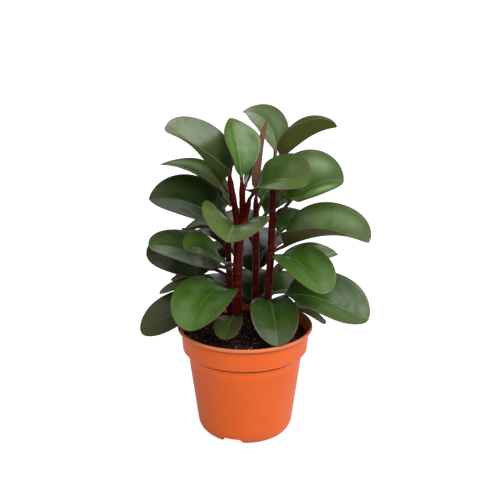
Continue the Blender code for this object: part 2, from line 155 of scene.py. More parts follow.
STEMS: tuple[Stem, ...] = (
    Stem("front_stem", 4.8, 4.4, ((-8, 4, 72), (-8, 4, 100), (-7, 3, 132), (-6, 2, 162), (-4.5, 0, 190))),
    Stem("front_left_branch", 3.3, 2.6, ((-5, 0, 182), (-7.5, 0.5, 202), (-10.5, 1, 220), (-13, 1, 236)),
         "front_stem"),
    Stem("front_middle_branch", 3.1, 2.6, ((-4, 0, 182), (-2, -1, 202), (-2.2, -1, 218), (-2.5, -1, 231)),
         "front_stem"),
    Stem("front_right_branch", 2.9, 2.4, ((-3, 0, 182), (0.5, -2.5, 201), (4, -4.5, 218)), "front_stem"),
    Stem("right_stem", 4.1, 2.7,
         ((19, 6, 72), (19, 6, 100), (21, 7, 135), (23, 8, 170), (24, 10, 210), (24.5, 12, 246))),
    Stem("back_stem", 3.9, 2.6, ((8, 27, 72), (8, 27, 100), (9.5, 27, 135), (10, 25, 172), (9.5, 21, 211))),
    Stem("side_stem", 3.6, 2.4,
         ((-13, 24, 72), (-13, 24, 100), (-14, 25, 130), (-15, 26, 160), (-15, 26, 190))),
)

LEAVES: tuple[Leaf, ...] = (
    # Leaves on the front stem and its branches, from the soil up
    Leaf("front_leaf_01", "front_stem", 106, (-17, -47, 106), 25, 30, 25, 0, 10, 5, widest=0.58, taper=0.92),
    Leaf("front_leaf_02", "front_stem", 128, (-46, -60, 119), 35, 40, 54, -8, 14, 8, lead=-15, petiole=3),
    Leaf("front_leaf_03", "front_stem", 156, (-50, -40, 185), 18, 5, 34, -33, 14, 8),
    Leaf("front_leaf_04", "front_stem", 150, (-82, -20, 181), 22, 0, 44, -24, 10, 2),
    Leaf("front_leaf_05", "front_stem", 187, (-13, -76, 202), 30, 22, 63, -12, 29, 14),
    Leaf("front_leaf_06", "front_stem", 180, (-82, -5, 218), 47, 8, 57, -27, 20, 6, widest=0.54, taper=1.75),
    Leaf("front_leaf_07", "front_left_branch", 206, (-74, 12, 244), 50, 6, 36, -8, 30, 12,
         widest=0.34, taper=1.6),
    Leaf("front_leaf_08", "front_left_branch", 218, (-67.5, 0, 278.5), 54, -22, 61, -14, 44, 8, 16,
         widest=0.5, taper=0.95),
    Leaf("front_leaf_09", "front_middle_branch", 238, (-12.5, 17.5, 284), 80, -70, 44, 12, 32, 20,
         petiole=1, taper=1.75),
    Leaf("front_leaf_10", "front_right_branch", 222, (50.5, -36, 238), 55, 18, 54, 24, 18, 12, petiole=2),
    Leaf("front_shoot_01", "front_middle_branch", 222, (6.5, 13, 243), 45, -50, 8, 0, 30, 20, petiole=4),
    Leaf("front_shoot_02", "front_left_branch", 240, (-10, 12, 250), 60, -50, 7, 0, 30, 20, petiole=3),
    # Leaves on the right stem
    Leaf("right_leaf_01", "right_stem", 107, (28, -52, 102), 70, 55, 43, 0, 12, 8),
    Leaf("right_leaf_02", "right_stem", 118, (107.5, -20, 113), 35, 20, 55, 28, 24, 16, petiole=11),
    Leaf("right_leaf_03", "right_stem", 112, (71, 10, 97), 20, 35, 40, -14, 12, 8, petiole=18),
    Leaf("right_leaf_04", "right_stem", 162, (69, -45, 147), 21, 40, 44, 10, 12, 8, widest=0.48, taper=0.85),
    Leaf("right_leaf_05", "right_stem", 166, (106, -20, 184), 30, 20, 59, 16, 50, 26, widest=0.5, taper=1.1),
    Leaf("right_leaf_06", "right_stem", 187, (84.5, 0, 232), 64, 5, 65, 46, 40, 34, petiole=20, widest=0.46),
    Leaf("right_leaf_07", "right_stem", 252, (78, 5, 278.5), 37, -8, 36, 2, 58, 58, petiole=2, widest=0.46),
    Leaf("right_leaf_08", "right_stem", 252, (-2, 58.5, 280.5), 40, 8, 32.5, -9, 18, 10, lead=-46, petiole=7),
    Leaf("right_leaf_09", "right_stem", 172, (72, 54, 176), 45, 15, 44, 10, 22, 10, lead=8),
    Leaf("right_leaf_10", "right_stem", 142, (83, 38, 155), 33, 5, 34, 10, 16, 10),
    Leaf("right_shoot_01", "right_stem", 132, (33, -8, 162), 50, -40, 9, 0, 30, 20, petiole=5),
    Leaf("right_shoot_02", "right_stem", 204, (33, 4, 223), 50, -60, 9, 0, 40, 40, petiole=5),
    # Leaves on the back stem, most of which the front hides
    Leaf("back_leaf_01", "back_stem", 214, (20, 15.5, 284.5), 80, -75, 14, 6, 60, 30,
         petiole=2, widest=0.36),
    Leaf("back_leaf_02", "back_stem", 197, (50, 84, 218), 48, 10, 40, 0, 20, 10),
    Leaf("back_leaf_03", "back_stem", 186, (75, 72, 204), 40, 10, 46, 0, 20, 10),
    Leaf("back_leaf_04", "back_stem", 162, (-32, 96, 172), 45, 10, 46, 0, 20, 10),
    Leaf("back_leaf_05", "back_stem", 146, (48, 95, 152), 40, 15, 46, 0, 18, 8),
    Leaf("back_leaf_06", "back_stem", 126, (2, 86, 156), 50, -10, 44, 0, 16, 8),
    Leaf("back_leaf_07", "back_stem", 108, (66, 52, 113), 38, 12, 50, 8, 16, 8),
    Leaf("back_leaf_08", "back_stem", 102, (7, 74, 127), 38, -12, 36, 0, 16, 8),
    Leaf("back_leaf_09", "back_stem", 97.5, (9, 80, 105), 34, 20, 44, 0, 10, 5, petiole=6),
    # Leaves on the side stem
    Leaf("side_leaf_01", "side_stem", 106, (-91.5, -8, 95), 33, 30, 47, -14, 10, 0),
    Leaf("side_leaf_02", "side_stem", 127, (-78, 26, 120.5), 24, 15, 29, 0, 10, 8),
    Leaf("side_leaf_03", "side_stem", 136, (-67, 54, 122), 28, 18, 34, 10, 12, 8),
    Leaf("side_leaf_04", "side_stem", 145, (-87, 8, 163), 12, 0, 47, -36, 10, 4),
    Leaf("side_leaf_05", "side_stem", 174, (-55, 35, 177), 40, 20, 34, 0, 20, 10),
    Leaf("side_leaf_06", "side_stem", 194, (-48, 66, 214), 55, 0, 40, 0, 24, 12, petiole=6),
    Leaf("side_leaf_07", "side_stem", 158, (-50, 84, 160), 40, 15, 44, 0, 20, 10),
    Leaf("side_leaf_08", "side_stem", 142, (-48, 84, 147), 42, 0, 38, 0, 18, 10),
    Leaf("side_leaf_09", "side_stem", 106, (-44, 71, 120), 43, 0, 37, 0, 16, 8),
)

# Leaves in shade take painted shade, and leaves that catch the light take painted sheen; the other tones are
# the leaves' own greens, each with its painted sheen.
LEAF_TONES: dict[Tone, tuple[str, ...]] = {
    Tone.BRIGHT: ("front_leaf_09", "front_leaf_03", "right_leaf_04", "front_leaf_02"),
    Tone.SHOOT: ("front_shoot_01", "front_shoot_02", "right_shoot_01", "right_shoot_02"),
    Tone.BRONZE: ("back_leaf_01",),
    Tone.GREY: ("front_leaf_08", "right_leaf_08", "side_leaf_02", "right_leaf_03"),
    Tone.GRAZING_SHEEN: ("right_leaf_05", "right_leaf_10", "side_leaf_05"),
    Tone.STRONG_SHEEN: ("right_leaf_06", "front_leaf_07"),
    Tone.FOREST: ("right_leaf_01",),
    Tone.OLIVE: ("front_leaf_05", "front_leaf_10", "right_leaf_07", "back_leaf_03"),
    Tone.MOSS: ("front_leaf_01", "side_leaf_01"),
    Tone.DEEP: ("front_leaf_06", "side_leaf_03", "side_leaf_04", "side_leaf_07", "side_leaf_08",
                "side_leaf_09", "back_leaf_04", "back_leaf_05", "back_leaf_06", "back_leaf_08",
                "back_leaf_09"),
}


def unit(vector: np.ndarray) -> np.ndarray:
    """Return a vector at length 1."""
    return vector / np.linalg.norm(vector)


def smooth_step(value: np.ndarray | float) -> np.ndarray | float:
    """Return values from 0 to 1 eased at both ends."""
    share = np.clip(value, 0.0, 1.0)
    return share * share * (3 - 2 * share)


def direction(heading: float, elevation: float) -> np.ndarray:
    """Return the unit vector with a heading about Z and an angle above level, both in radians."""
    level = math.cos(elevation)
    return np.array([math.cos(heading) * level, math.sin(heading) * level, math.sin(elevation)])


def arc(centre_r: float, centre_z: float, radius: float, start: float, end: float, steps: int) -> Profile:
    """Return points (r, z) along an arc.

    Args:
        centre_r: the centre's distance from the pot's axis.
        centre_z: the centre's height.
        radius: the arc's radius.
        start: the first angle, in degrees.
        end: the last angle, in degrees.
        steps: how many chords make the arc.

    Returns:
        The points, steps + 1 of them.
    """
    angles = np.radians(np.linspace(start, end, steps + 1))
    return [(centre_r + radius * math.cos(a), centre_z + radius * math.sin(a)) for a in angles]


def smooth_path(points: tuple[Point, ...], steps: int) -> np.ndarray:
    """Return a smooth curve through points.

    Args:
        points: the points that it passes.
        steps: how many steps it has between each pair.

    Returns:
        The curve's points.
    """
    nodes = [np.array(p, float) for p in points]
    nodes = [2 * nodes[0] - nodes[1]] + nodes + [2 * nodes[-1] - nodes[-2]]
    curve = []
    for i in range(1, len(nodes) - 2):
        a, b, c, d = nodes[i - 1:i + 3]
        square = 2 * a - 5 * b + 4 * c - d
        cube = 3 * b - a - 3 * c + d
        for t in np.arange(steps) / steps:
            curve.append(b + 0.5 * ((c - a) * t + square * t ** 2 + cube * t ** 3))
    curve.append(nodes[-2])
    return np.array(curve)


def lengths_along(curve: np.ndarray) -> np.ndarray:
    """Return how far along a curve each of its points lies."""
    return np.concatenate([[0.0], np.cumsum(np.linalg.norm(np.diff(curve, axis=0), axis=1))])


def points_at(curve: np.ndarray, measures: np.ndarray, value: np.ndarray | float) -> np.ndarray:
    """Return a curve's point, or points, where a measure that grows along it has a value."""
    return np.array([np.interp(value, measures, curve[:, k]) for k in range(3)]).T


def fan(angles: np.ndarray, first: np.ndarray, second: np.ndarray) -> np.ndarray:
    """Return the unit vectors at angles from a first direction towards a second."""
    return np.outer(np.cos(angles), first) + np.outer(np.sin(angles), second)


class Workshop:
    """The modelling moves that every piece uses."""

    @staticmethod
    def clear_selection() -> None:
        """Leave edit mode and select nothing."""
        if bpy.context.object and bpy.context.object.mode != "OBJECT":
            bpy.ops.object.mode_set(mode="OBJECT")
        bpy.ops.object.select_all(action="DESELECT")

    @staticmethod
    def pick(piece: Piece) -> None:
        """Select one piece alone and make it active.

        Args:
            piece: the piece.
        """
        Workshop.clear_selection()
        piece.select_set(True)
        bpy.context.view_layer.objects.active = piece

    @staticmethod
    def settle() -> None:
        """Put the place, turn and stretch of what is selected in its mesh."""
        bpy.ops.object.transform_apply(location=True, rotation=True, scale=True)

    @staticmethod
    def start(primitive: Callable, name: str, **settings: object) -> Piece:
        """Add a primitive as the start of a piece, with nothing else selected.

        Args:
            primitive: the operator that adds it.
            name: the piece's name.
            settings: the operator's settings, in metres.

        Returns:
            The piece, with its place in its mesh.
        """
        Workshop.clear_selection()
        primitive(**settings)
        piece = bpy.context.active_object
        piece.name = name
        Workshop.settle()
        return piece

    @staticmethod
    def apply(piece: Piece, kind: str, **settings: object) -> None:
        """Add a modifier to a piece, and apply it.

        Args:
            piece: the piece.
            kind: the modifier's type.
            settings: the modifier's settings.
        """
        Workshop.pick(piece)
        modifier = piece.modifiers.new(kind.lower(), kind)
        for key, value in settings.items():
            setattr(modifier, key, value)
        bpy.ops.object.modifier_apply(modifier=modifier.name)

    @staticmethod
    def combine(piece: Piece, other: Piece, operation: str) -> None:
        """Cut another body out of a piece or join it on, and remove that body."""
        Workshop.apply(piece, "BOOLEAN", operation=operation, solver="EXACT", object=other)
        bpy.data.objects.remove(other, do_unlink=True)

    @staticmethod
    def face_outwards(piece: Piece) -> None:
        """Merge doubled points and turn every face outwards.

        Args:
            piece: the piece.
        """
        Workshop.pick(piece)
        bpy.ops.object.mode_set(mode="EDIT")
        bpy.ops.mesh.select_all(action="SELECT")
        bpy.ops.mesh.remove_doubles(threshold=DOUBLED * MM)
        bpy.ops.mesh.normals_make_consistent(inside=False)
        bpy.ops.object.mode_set(mode="OBJECT")

    @staticmethod
    def turned_shell(name: str, profile: Profile, sides: int) -> Piece:
        """Model a closed turned body: a filled circle whose edge is extruded ring by ring.

        Args:
            name: the piece's name.
            profile: (r, z) points in mm. The first is the edge of a flat disc, and the last ring is drawn
                together in a point on the axis.
            sides: how many sides each ring has.

        Returns:
            The piece, in metres.
        """
        radius, height = profile[0]
        piece = Workshop.start(bpy.ops.mesh.primitive_circle_add, name, vertices=sides, radius=radius * MM,
                               fill_type="TRIFAN", location=(0, 0, height * MM))
        bpy.ops.object.mode_set(mode="EDIT")
        bpy.ops.mesh.select_mode(type="EDGE")
        bpy.ops.mesh.select_all(action="DESELECT")
        bpy.ops.mesh.select_non_manifold()
        for next_radius, next_height in profile[1:]:
            rise = (0, 0, (next_height - height) * MM)
            bpy.ops.mesh.extrude_region_move(TRANSFORM_OT_translate={"value": rise})
            factor = next_radius / radius
            bpy.ops.transform.resize(value=(factor, factor, 1.0), center_override=(0, 0, next_height * MM))
            radius, height = next_radius, next_height
        bpy.ops.mesh.merge(type="CENTER")
        bpy.ops.object.mode_set(mode="OBJECT")
        Workshop.face_outwards(piece)
        return piece

    @staticmethod
    def wrapped_grid(name: str, rings: np.ndarray, marks: dict[str, np.ndarray]) -> Piece:
        """Model a closed tube: a grid that is wrapped round, each of its rows a ring of points.

        Args:
            name: the piece's name.
            rings: points in mm, shaped (rows, columns, 3). The first and last rows are drawn together.
            marks: values for the finish, each shaped (rows, columns), kept as point attributes.

        Returns:
            The piece, in metres.
        """
        rows, columns, _ = rings.shape
        piece = Workshop.start(bpy.ops.mesh.primitive_grid_add, name, x_subdivisions=columns,
                               y_subdivisions=rows - 1, size=1.0)
        mesh = piece.data
        flat = np.empty(len(mesh.vertices) * 3)
        mesh.vertices.foreach_get("co", flat)
        flat = flat.reshape(-1, 3)
        column = np.rint((flat[:, 0] + 0.5) * columns).astype(int) % columns
        row = np.rint((flat[:, 1] + 0.5) * (rows - 1)).astype(int)
        closed = rings.copy()
        closed[0] = rings[0].mean(axis=0)
        closed[-1] = rings[-1].mean(axis=0)
        mesh.vertices.foreach_set("co", (closed[row, column] * MM).ravel())
        for key, values in marks.items():
            mark = mesh.attributes.new(key, "FLOAT", "POINT")
            mark.data.foreach_set("value", values[row, column].astype(np.float32))
        Workshop.face_outwards(piece)
        return piece

    @staticmethod
    def scatter(name: str, model: Piece, places: list[tuple[np.ndarray, np.ndarray]]) -> Piece:
        """Copy a model to many places, as one piece, and remove the model.

        Args:
            name: the new piece's name.
            model: the piece that is repeated, modelled at the origin in mm.
            places: for each copy its 3 by 3 turn and stretch, and its place in mm.

        Returns:
            The piece, in metres.
        """
        points = np.array([v.co for v in model.data.vertices])
        faces = [tuple(p.vertices) for p in model.data.polygons]
        all_points: list[tuple[float, ...]] = []
        all_faces: list[tuple[int, ...]] = []
        for turn, place in places:
            start = len(all_points)
            all_points += [tuple(p) for p in (points @ turn.T + place) * MM]
            all_faces += [tuple(start + i for i in face) for face in faces]
        mesh = bpy.data.meshes.new(name)
        mesh.from_pydata(all_points, [], all_faces)
        piece = bpy.data.objects.new(name, mesh)
        bpy.context.scene.collection.objects.link(piece)
        bpy.data.objects.remove(model, do_unlink=True)
        return piece

    @staticmethod
    def finish(piece: Piece, material: Material, slot: Slot, smooth_angle: float, *nodes: str) -> Piece:
        """Shade a piece, give it its material and tie it to the frame.

        Args:
            piece: the finished piece.
            material: its material.
            slot: the record's material slot; not used.
            smooth_angle: edges sharper than this, in degrees, stay crisp.
            nodes: the CAD nodes that it stands for.

        Returns:
            The piece.
        """
        Workshop.pick(piece)
        bpy.ops.object.shade_smooth_by_angle(angle=math.radians(smooth_angle))
        piece.data.materials.clear()
        piece.data.materials.append(material)
        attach(piece, BODY)
        if nodes:
            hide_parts(*nodes)
        LOG.info("%s: %d faces", piece.name, len(piece.data.polygons))
        return piece


class Graph:
    """Places and joins the nodes of one node tree."""

    def __init__(self, tree: Tree) -> None:
        """Keep the tree."""
        self.tree = tree

    def feed(self, socket: Socket, source: object) -> None:
        """Join an input to an output, or set it to a plain value.

        Args:
            socket: the input.
            source: the output, number, vector or colour.
        """
        if isinstance(source, bpy.types.NodeSocket):
            self.tree.links.new(source, socket)
        elif isinstance(source, tuple) and len(source) == 3 and socket.type == "RGBA":
            socket.default_value = (*source, 1.0)
        else:
            socket.default_value = source

    def node(self, kind: str, sources: dict[str | int, object] | None = None,
             **settings: object) -> bpy.types.Node:
        """Add a node.

        Args:
            kind: the node's type.
            sources: what feeds its inputs, by name or number.
            settings: its settings.

        Returns:
            The node.
        """
        made = self.tree.nodes.new(kind)
        for key, value in settings.items():
            setattr(made, key, value)
        for key, source in (sources or {}).items():
            self.feed(made.inputs[key], source)
        return made

    def math(self, operation: str, first: object, second: object = 0.0) -> Socket:
        """Return the result of a math operation on two values or sockets."""
        return self.node("ShaderNodeMath", {0: first, 1: second}, operation=operation).outputs[0]

    def plus(self, first: object, second: object) -> Socket:
        """Return the sum of two values or sockets."""
        return self.math("ADD", first, second)

    def times(self, first: object, *others: object) -> Socket:
        """Return the product of values or sockets."""
        for other in others:
            first = self.math("MULTIPLY", first, other)
        return first

    def band(self, value: object, low: float, high: float, first: float = 0.0, last: float = 1.0) -> Socket:
        """Return a value eased from first at low to last at high."""
        sources = {"Value": value, "From Min": low, "From Max": high, "To Min": first, "To Max": last}
        return self.node("ShaderNodeMapRange", sources, interpolation_type="SMOOTHSTEP").outputs["Result"]

    def mix(self, share: object, first: object, second: object) -> Socket:
        """Return a colour mixed from two by a share."""
        return self.node("ShaderNodeMix", {0: share, 6: first, 7: second}, data_type="RGBA").outputs[2]

    def coats(self, colour: object, *coats: tuple[object, float, object]) -> Socket:
        """Lay coats of colour over each other.

        Args:
            colour: the colour below them.
            coats: for each its mask, how strongly it covers, and its colour.

        Returns:
            The colour that shows.
        """
        for mask, strength, coat in coats:
            colour = self.mix(mask if strength == FULL else self.times(mask, strength), colour, coat)
        return colour

    def mark(self, name: str) -> Socket:
        """Return a point attribute's value."""
        return self.node("ShaderNodeAttribute", attribute_name=name).outputs["Fac"]

    def place(self) -> Socket:
        """Return the object's own coordinates."""
        return self.node("ShaderNodeTexCoord").outputs["Object"]

    def noise(self, scale: object, detail: float = 3.0, stretch: Point = (1.0, 1.0, 1.0)) -> Socket:
        """Return noise on the object's own coordinates, stretched along its axes."""
        mapping = self.node("ShaderNodeMapping", {"Vector": self.place(), "Scale": stretch}).outputs[0]
        sources = {"Vector": mapping, "Scale": scale, "Detail": detail}
        return self.node("ShaderNodeTexNoise", sources).outputs["Fac"]

    def group(self, tree: Tree, sources: dict[str, object]) -> dict[str, Socket]:
        """Place a group.

        Args:
            tree: the group.
            sources: what feeds its inputs.

        Returns:
            Its outputs, by name.
        """
        made = self.node("ShaderNodeGroup", node_tree=tree)
        for key, source in sources.items():
            self.feed(made.inputs[key], source)
        return {output.name: output for output in made.outputs}


def new_group(name: str, takes: dict[str, float],
              gives: tuple[str, ...]) -> tuple[Graph, dict[str, Socket], bpy.types.Node]:
    """Start a shader node group of plain values.

    Args:
        name: the group's name.
        takes: its inputs, with their standing values.
        gives: its outputs.

    Returns:
        The group's graph, its inputs by name, and the node that takes its outputs.
    """
    tree = bpy.data.node_groups.new(name, "ShaderNodeTree")
    for key, value in takes.items():
        tree.interface.new_socket(key, in_out="INPUT", socket_type="NodeSocketFloat").default_value = value
    for key in gives:
        tree.interface.new_socket(key, in_out="OUTPUT", socket_type="NodeSocketFloat")
    graph = Graph(tree)
    inside, outside = graph.node("NodeGroupInput"), graph.node("NodeGroupOutput")
    return graph, {key: inside.outputs[key] for key in takes}, outside


@dataclass
class Effects:
    """The node groups that several materials share, each built once.

    A blade's marks are laid out across it from the midrib, 0, to the margin, 1, along it from the base, 0, to
    the tip, 1, and where the name says so in mm.
    """

    blotches: Band = (0.35, 0.68)
    blotch_height: float = 0.4
    margin_mm: Band = (0.1, 0.7, 1.0, 0.0)
    margin_needs_mm: Band = (1.5, 5.0)         # half widths between which the margin comes in
    rib_narrowing: Band = (0.0, 0.95, 1.25, 0.35)
    rib_mm: Band = (0.45, 1.25, 1.0, 0.0)
    rib_fading: Band = (0.55, 1.0, 1.0, 0.15)
    vein_width: Band = (0.0, 0.10, 1.0, 0.0)
    vein_end: Band = (0.93, 0.72)
    vein_curve: float = 0.8
    vein_lean: float = 2.4
    # Where the painted sheen lies across and along a blade: a paler band between midrib and margin.
    sheen_across: tuple[Band, Band] = ((0.08, 0.45), (0.92, 0.55, 0.0, 1.0))
    sheen_along: tuple[Band, Band] = ((0.08, 0.4), (0.98, 0.7, 0.0, 1.0))
    edge_fade: Band = (0.45, 1.0)
    tip_fade: Band = (0.35, 1.0)
    base_fade: Band = (0.02, 0.3, 1.0, 0.0)
    petiole_end: Band = (-0.04, 0.06, 1.0, 0.0)

    def __post_init__(self) -> None:
        """Build every group."""
        self.mottle = self._mottle()
        self.blade = self._blade_marks()

    def _mottle(self) -> Tree:
        """Make a group that gives broad blotches, fine grain, and both together as a height.

        Returns:
            The group.
        """
        graph, given, out = new_group("mottle", {"Blotch Scale": 40.0, "Grain Scale": 900.0},
                                      ("Blotches", "Grain", "Height"))
        broad, fine = graph.noise(given["Blotch Scale"], 3.0), graph.noise(given["Grain Scale"], 2.0)
        graph.feed(out.inputs["Blotches"], graph.band(broad, *self.blotches))
        graph.feed(out.inputs["Grain"], fine)
        graph.feed(out.inputs["Height"], graph.plus(graph.times(broad, self.blotch_height), fine))
        return graph.tree

    def _blade_marks(self) -> Tree:
        """Make a group that turns a point's place on a blade into masks for its markings and for its painted
        sheen.

        Returns:
            The group.
        """
        graph, given, out = new_group(
            "blade_marks", {"Across": 0.0, "Along": 0.0, "Half Width": 20.0, "Vein Count": 7.0},
            ("Midrib", "Veins", "Margin", "Edge Fade", "Tip Fade", "Base Fade", "Petiole", "Painted Sheen"))
        along, half = given["Along"], given["Half Width"]
        side = graph.math("ABSOLUTE", given["Across"])
        from_margin = graph.times(graph.math("SUBTRACT", 1.0, side), half)
        from_rib = graph.math("DIVIDE", graph.times(side, half), graph.band(along, *self.rib_narrowing))
        bow = graph.times(graph.math("POWER", side, self.vein_curve), self.vein_lean)
        phase = graph.math("SUBTRACT", graph.times(along, given["Vein Count"]), bow)
        wave = graph.math("ABSOLUTE", graph.math("SUBTRACT", graph.math("FRACT", phase), 0.5))
        results = {
            "Midrib": graph.times(graph.band(from_rib, *self.rib_mm), graph.band(along, *self.rib_fading)),
            "Veins": graph.times(graph.band(wave, *self.vein_width), graph.band(side, *self.vein_end)),
            "Margin": graph.times(graph.band(from_margin, *self.margin_mm),
                                  graph.band(half, *self.margin_needs_mm)),
            "Edge Fade": graph.band(side, *self.edge_fade),
            "Tip Fade": graph.band(along, *self.tip_fade),
            "Base Fade": graph.band(along, *self.base_fade),
            "Petiole": graph.band(along, *self.petiole_end),
            "Painted Sheen": graph.times(*(graph.band(side, *span) for span in self.sheen_across),
                                 *(graph.band(along, *span) for span in self.sheen_along)),
        }
        for key, value in results.items():
            graph.feed(out.inputs[key], value)
        return graph.tree


class Surface:
    """One material: its graph and its shader."""

    def __init__(self, name: str, roughness: float, gloss: float) -> None:
        """Make the material with plain values on the shader's own sockets.

        Args:
            name: the material's name.
            roughness: how rough it is where nothing is fed.
            gloss: how strongly it mirrors.
        """
        self.material = bpy.data.materials.new(name)
        self.material.use_nodes = True
        self.graph = Graph(self.material.node_tree)
        self.shader = self.material.node_tree.nodes["Principled BSDF"]
        self.shader.inputs["Roughness"].default_value = roughness
        self.shader.inputs["Specular IOR Level"].default_value = gloss

    def mottle(self, effects: Effects, blotch_scale: float, grain_scale: float) -> dict[str, Socket]:
        """Return the outputs of the shared mottle at a material's own scales."""
        sources = {"Blotch Scale": blotch_scale, "Grain Scale": grain_scale}
        return self.graph.group(effects.mottle, sources)

    def dress(self, colour: Socket, roughness: Socket, height: Socket, depth: float) -> Material:
        """Feed what changes over the surface, and return the material.

        Args:
            colour: the colour.
            roughness: the roughness.
            height: the fine relief.
            depth: how deep the relief is, in mm.

        Returns:
            The material.
        """
        bump = self.graph.node("ShaderNodeBump", {"Distance": depth * MM, "Height": height})
        fed = {"Base Color": colour, "Roughness": roughness, "Normal": bump.outputs["Normal"]}
        for key, source in fed.items():
            self.graph.feed(self.shader.inputs[key], source)
        return self.material


@dataclass(frozen=True)
class LeafFinish:
    """The finish of a waxy blade: its upper face's greens with painted sheen and painted shade at the base,
    and what all blades share.

    A share says how strongly a colour covers where its mask is whole.
    """

    tone: Tone
    shade: Colour
    light: Colour
    tip: Colour
    # Painted sheen: a paler green laid in soft patches where the waxy face would reflect the light.
    painted_sheen: Colour = (0.100, 0.150, 0.060)
    painted_sheen_share: float = 0.45
    midrib: Colour = (0.09, 0.17, 0.03)
    underside: Colour = (0.040, 0.052, 0.0)
    blush: Colour = (0.045, 0.010, 0.004)
    rim: Colour = (0.11, 0.050, 0.033)
    blotch_share: float = 0.75
    tip_share: float = 0.75
    edge_share: float = 0.55
    # How strongly painted shade darkens the upper face towards the blade's base.
    painted_base_shade_share: float = 0.6
    vein_share: float = 0.05
    midrib_share: float = 0.4
    margin_share: float = 0.6
    blush_share: float = 0.6
    blush_edge: float = 0.5        # the blush at the underside's edge, against its base
    blush_midrib: float = 0.5
    blotch_scale: float = 32.0
    grain_scale: float = 1500.0
    # Scale and bands of the soft patches of painted sheen.
    sheen_patch_scale: float = 42.0
    sheen_patches: Band = (0.30, 0.66)
    roughness: float = 0.29
    under_roughness: float = 0.7
    grain_roughness: float = 0.10
    gloss: float = 0.4
    relief: float = 0.04
    grain_relief: float = 0.5
    swell_scale: float = 75.0
    swell_relief: float = 22.0     # broad swells of the waxy face, against its veins

    def build(self, effects: Effects) -> Material:
        """Make the material.

        Args:
            effects: the shared node groups.

        Returns:
            The material.
        """
        surface = Surface(f"leaf_{self.tone.value}", self.roughness, self.gloss)
        graph = surface.graph
        marks = graph.group(effects.blade, {
            "Across": graph.mark("across"), "Along": graph.mark("along"), "Half Width": graph.mark("half")})
        mottle = surface.mottle(effects, self.blotch_scale, self.grain_scale)
        fade = graph.math("MAXIMUM", graph.times(marks["Tip Fade"], self.tip_share),
                          graph.times(marks["Edge Fade"], self.edge_share))
        # Painted sheen: soft patches of paler green between midrib and margin, standing in for the light that
        # the waxy face reflects.
        sheen_patches = graph.times(marks["Painted Sheen"], graph.band(graph.noise(self.sheen_patch_scale, 1.0), *self.sheen_patches))
        upper = graph.coats(
            self.shade,
            (mottle["Blotches"], self.blotch_share, self.light),
            (fade, FULL, self.tip),
            # Painted shade: the upper face darkens towards the blade's base, near the petiole.
            (marks["Base Fade"], self.painted_base_shade_share, self.shade),
            # Painted sheen laid over the greens.
            (sheen_patches, self.painted_sheen_share, self.painted_sheen),
            (marks["Veins"], self.vein_share, self.midrib),
            (marks["Midrib"], self.midrib_share, self.midrib))
        flush = graph.math("MAXIMUM", graph.times(marks["Edge Fade"], self.blush_edge), marks["Base Fade"])
        colour = graph.coats(
            self.underside,
            (flush, self.blush_share, self.blush),
            (marks["Midrib"], self.blush_midrib, self.blush),
            (graph.mark("upper"), FULL, upper),
            (marks["Margin"], self.margin_share, self.blush),
            (graph.mark("rim"), FULL, self.rim),
            (marks["Petiole"], FULL, self.blush))
        grain = graph.times(graph.math("SUBTRACT", mottle["Grain"], 0.5), self.grain_roughness)
        wax = graph.band(graph.mark("upper"), 0.0, 1.0, self.under_roughness, self.roughness)
        relief = graph.math("SUBTRACT", graph.times(mottle["Height"], self.grain_relief), marks["Veins"])
        swells = graph.times(graph.noise(self.swell_scale, 1.0), self.swell_relief)
        return surface.dress(colour, graph.plus(grain, wax), graph.plus(relief, swells), self.relief)


@dataclass(frozen=True)
class StemFinish:
    """The finish of a fleshy stem: dark crimson, with paler rings where leaves stand or stood."""

    flesh: Colour = (0.040, 0.0009, 0.0006)
    streak: Colour = (0.085, 0.004, 0.0020)
    scar: Colour = (0.16, 0.035, 0.025)
    streak_share: float = 0.6
    blotch_share: float = 0.35
    scar_share: float = 0.5
    blotch_scale: float = 90.0
    grain_scale: float = 1400.0
    streak_scale: float = 700.0
    streak_stretch: Point = (1.0, 1.0, 0.06)
    streaks: Band = (0.42, 0.7)
    roughness: float = 0.27
    wear: Band = (0.3, 0.7, 0.26, 0.42)
    gloss: float = 0.07
    relief: float = 0.08

    def build(self, effects: Effects) -> Material:
        """Make the material.

        Args:
            effects: the shared node groups.

        Returns:
            The material.
        """
        surface = Surface("stem", self.roughness, self.gloss)
        graph = surface.graph
        mottle = surface.mottle(effects, self.blotch_scale, self.grain_scale)
        streaks = graph.band(graph.noise(self.streak_scale, 2.0, self.streak_stretch), *self.streaks)
        colour = graph.coats(
            self.flesh,
            (streaks, self.streak_share, self.streak),
            (mottle["Blotches"], self.blotch_share, self.streak),
            (graph.mark("scar"), self.scar_share, self.scar))
        rough = graph.band(mottle["Grain"], *self.wear)
        return surface.dress(colour, rough, graph.plus(streaks, mottle["Height"]), self.relief)


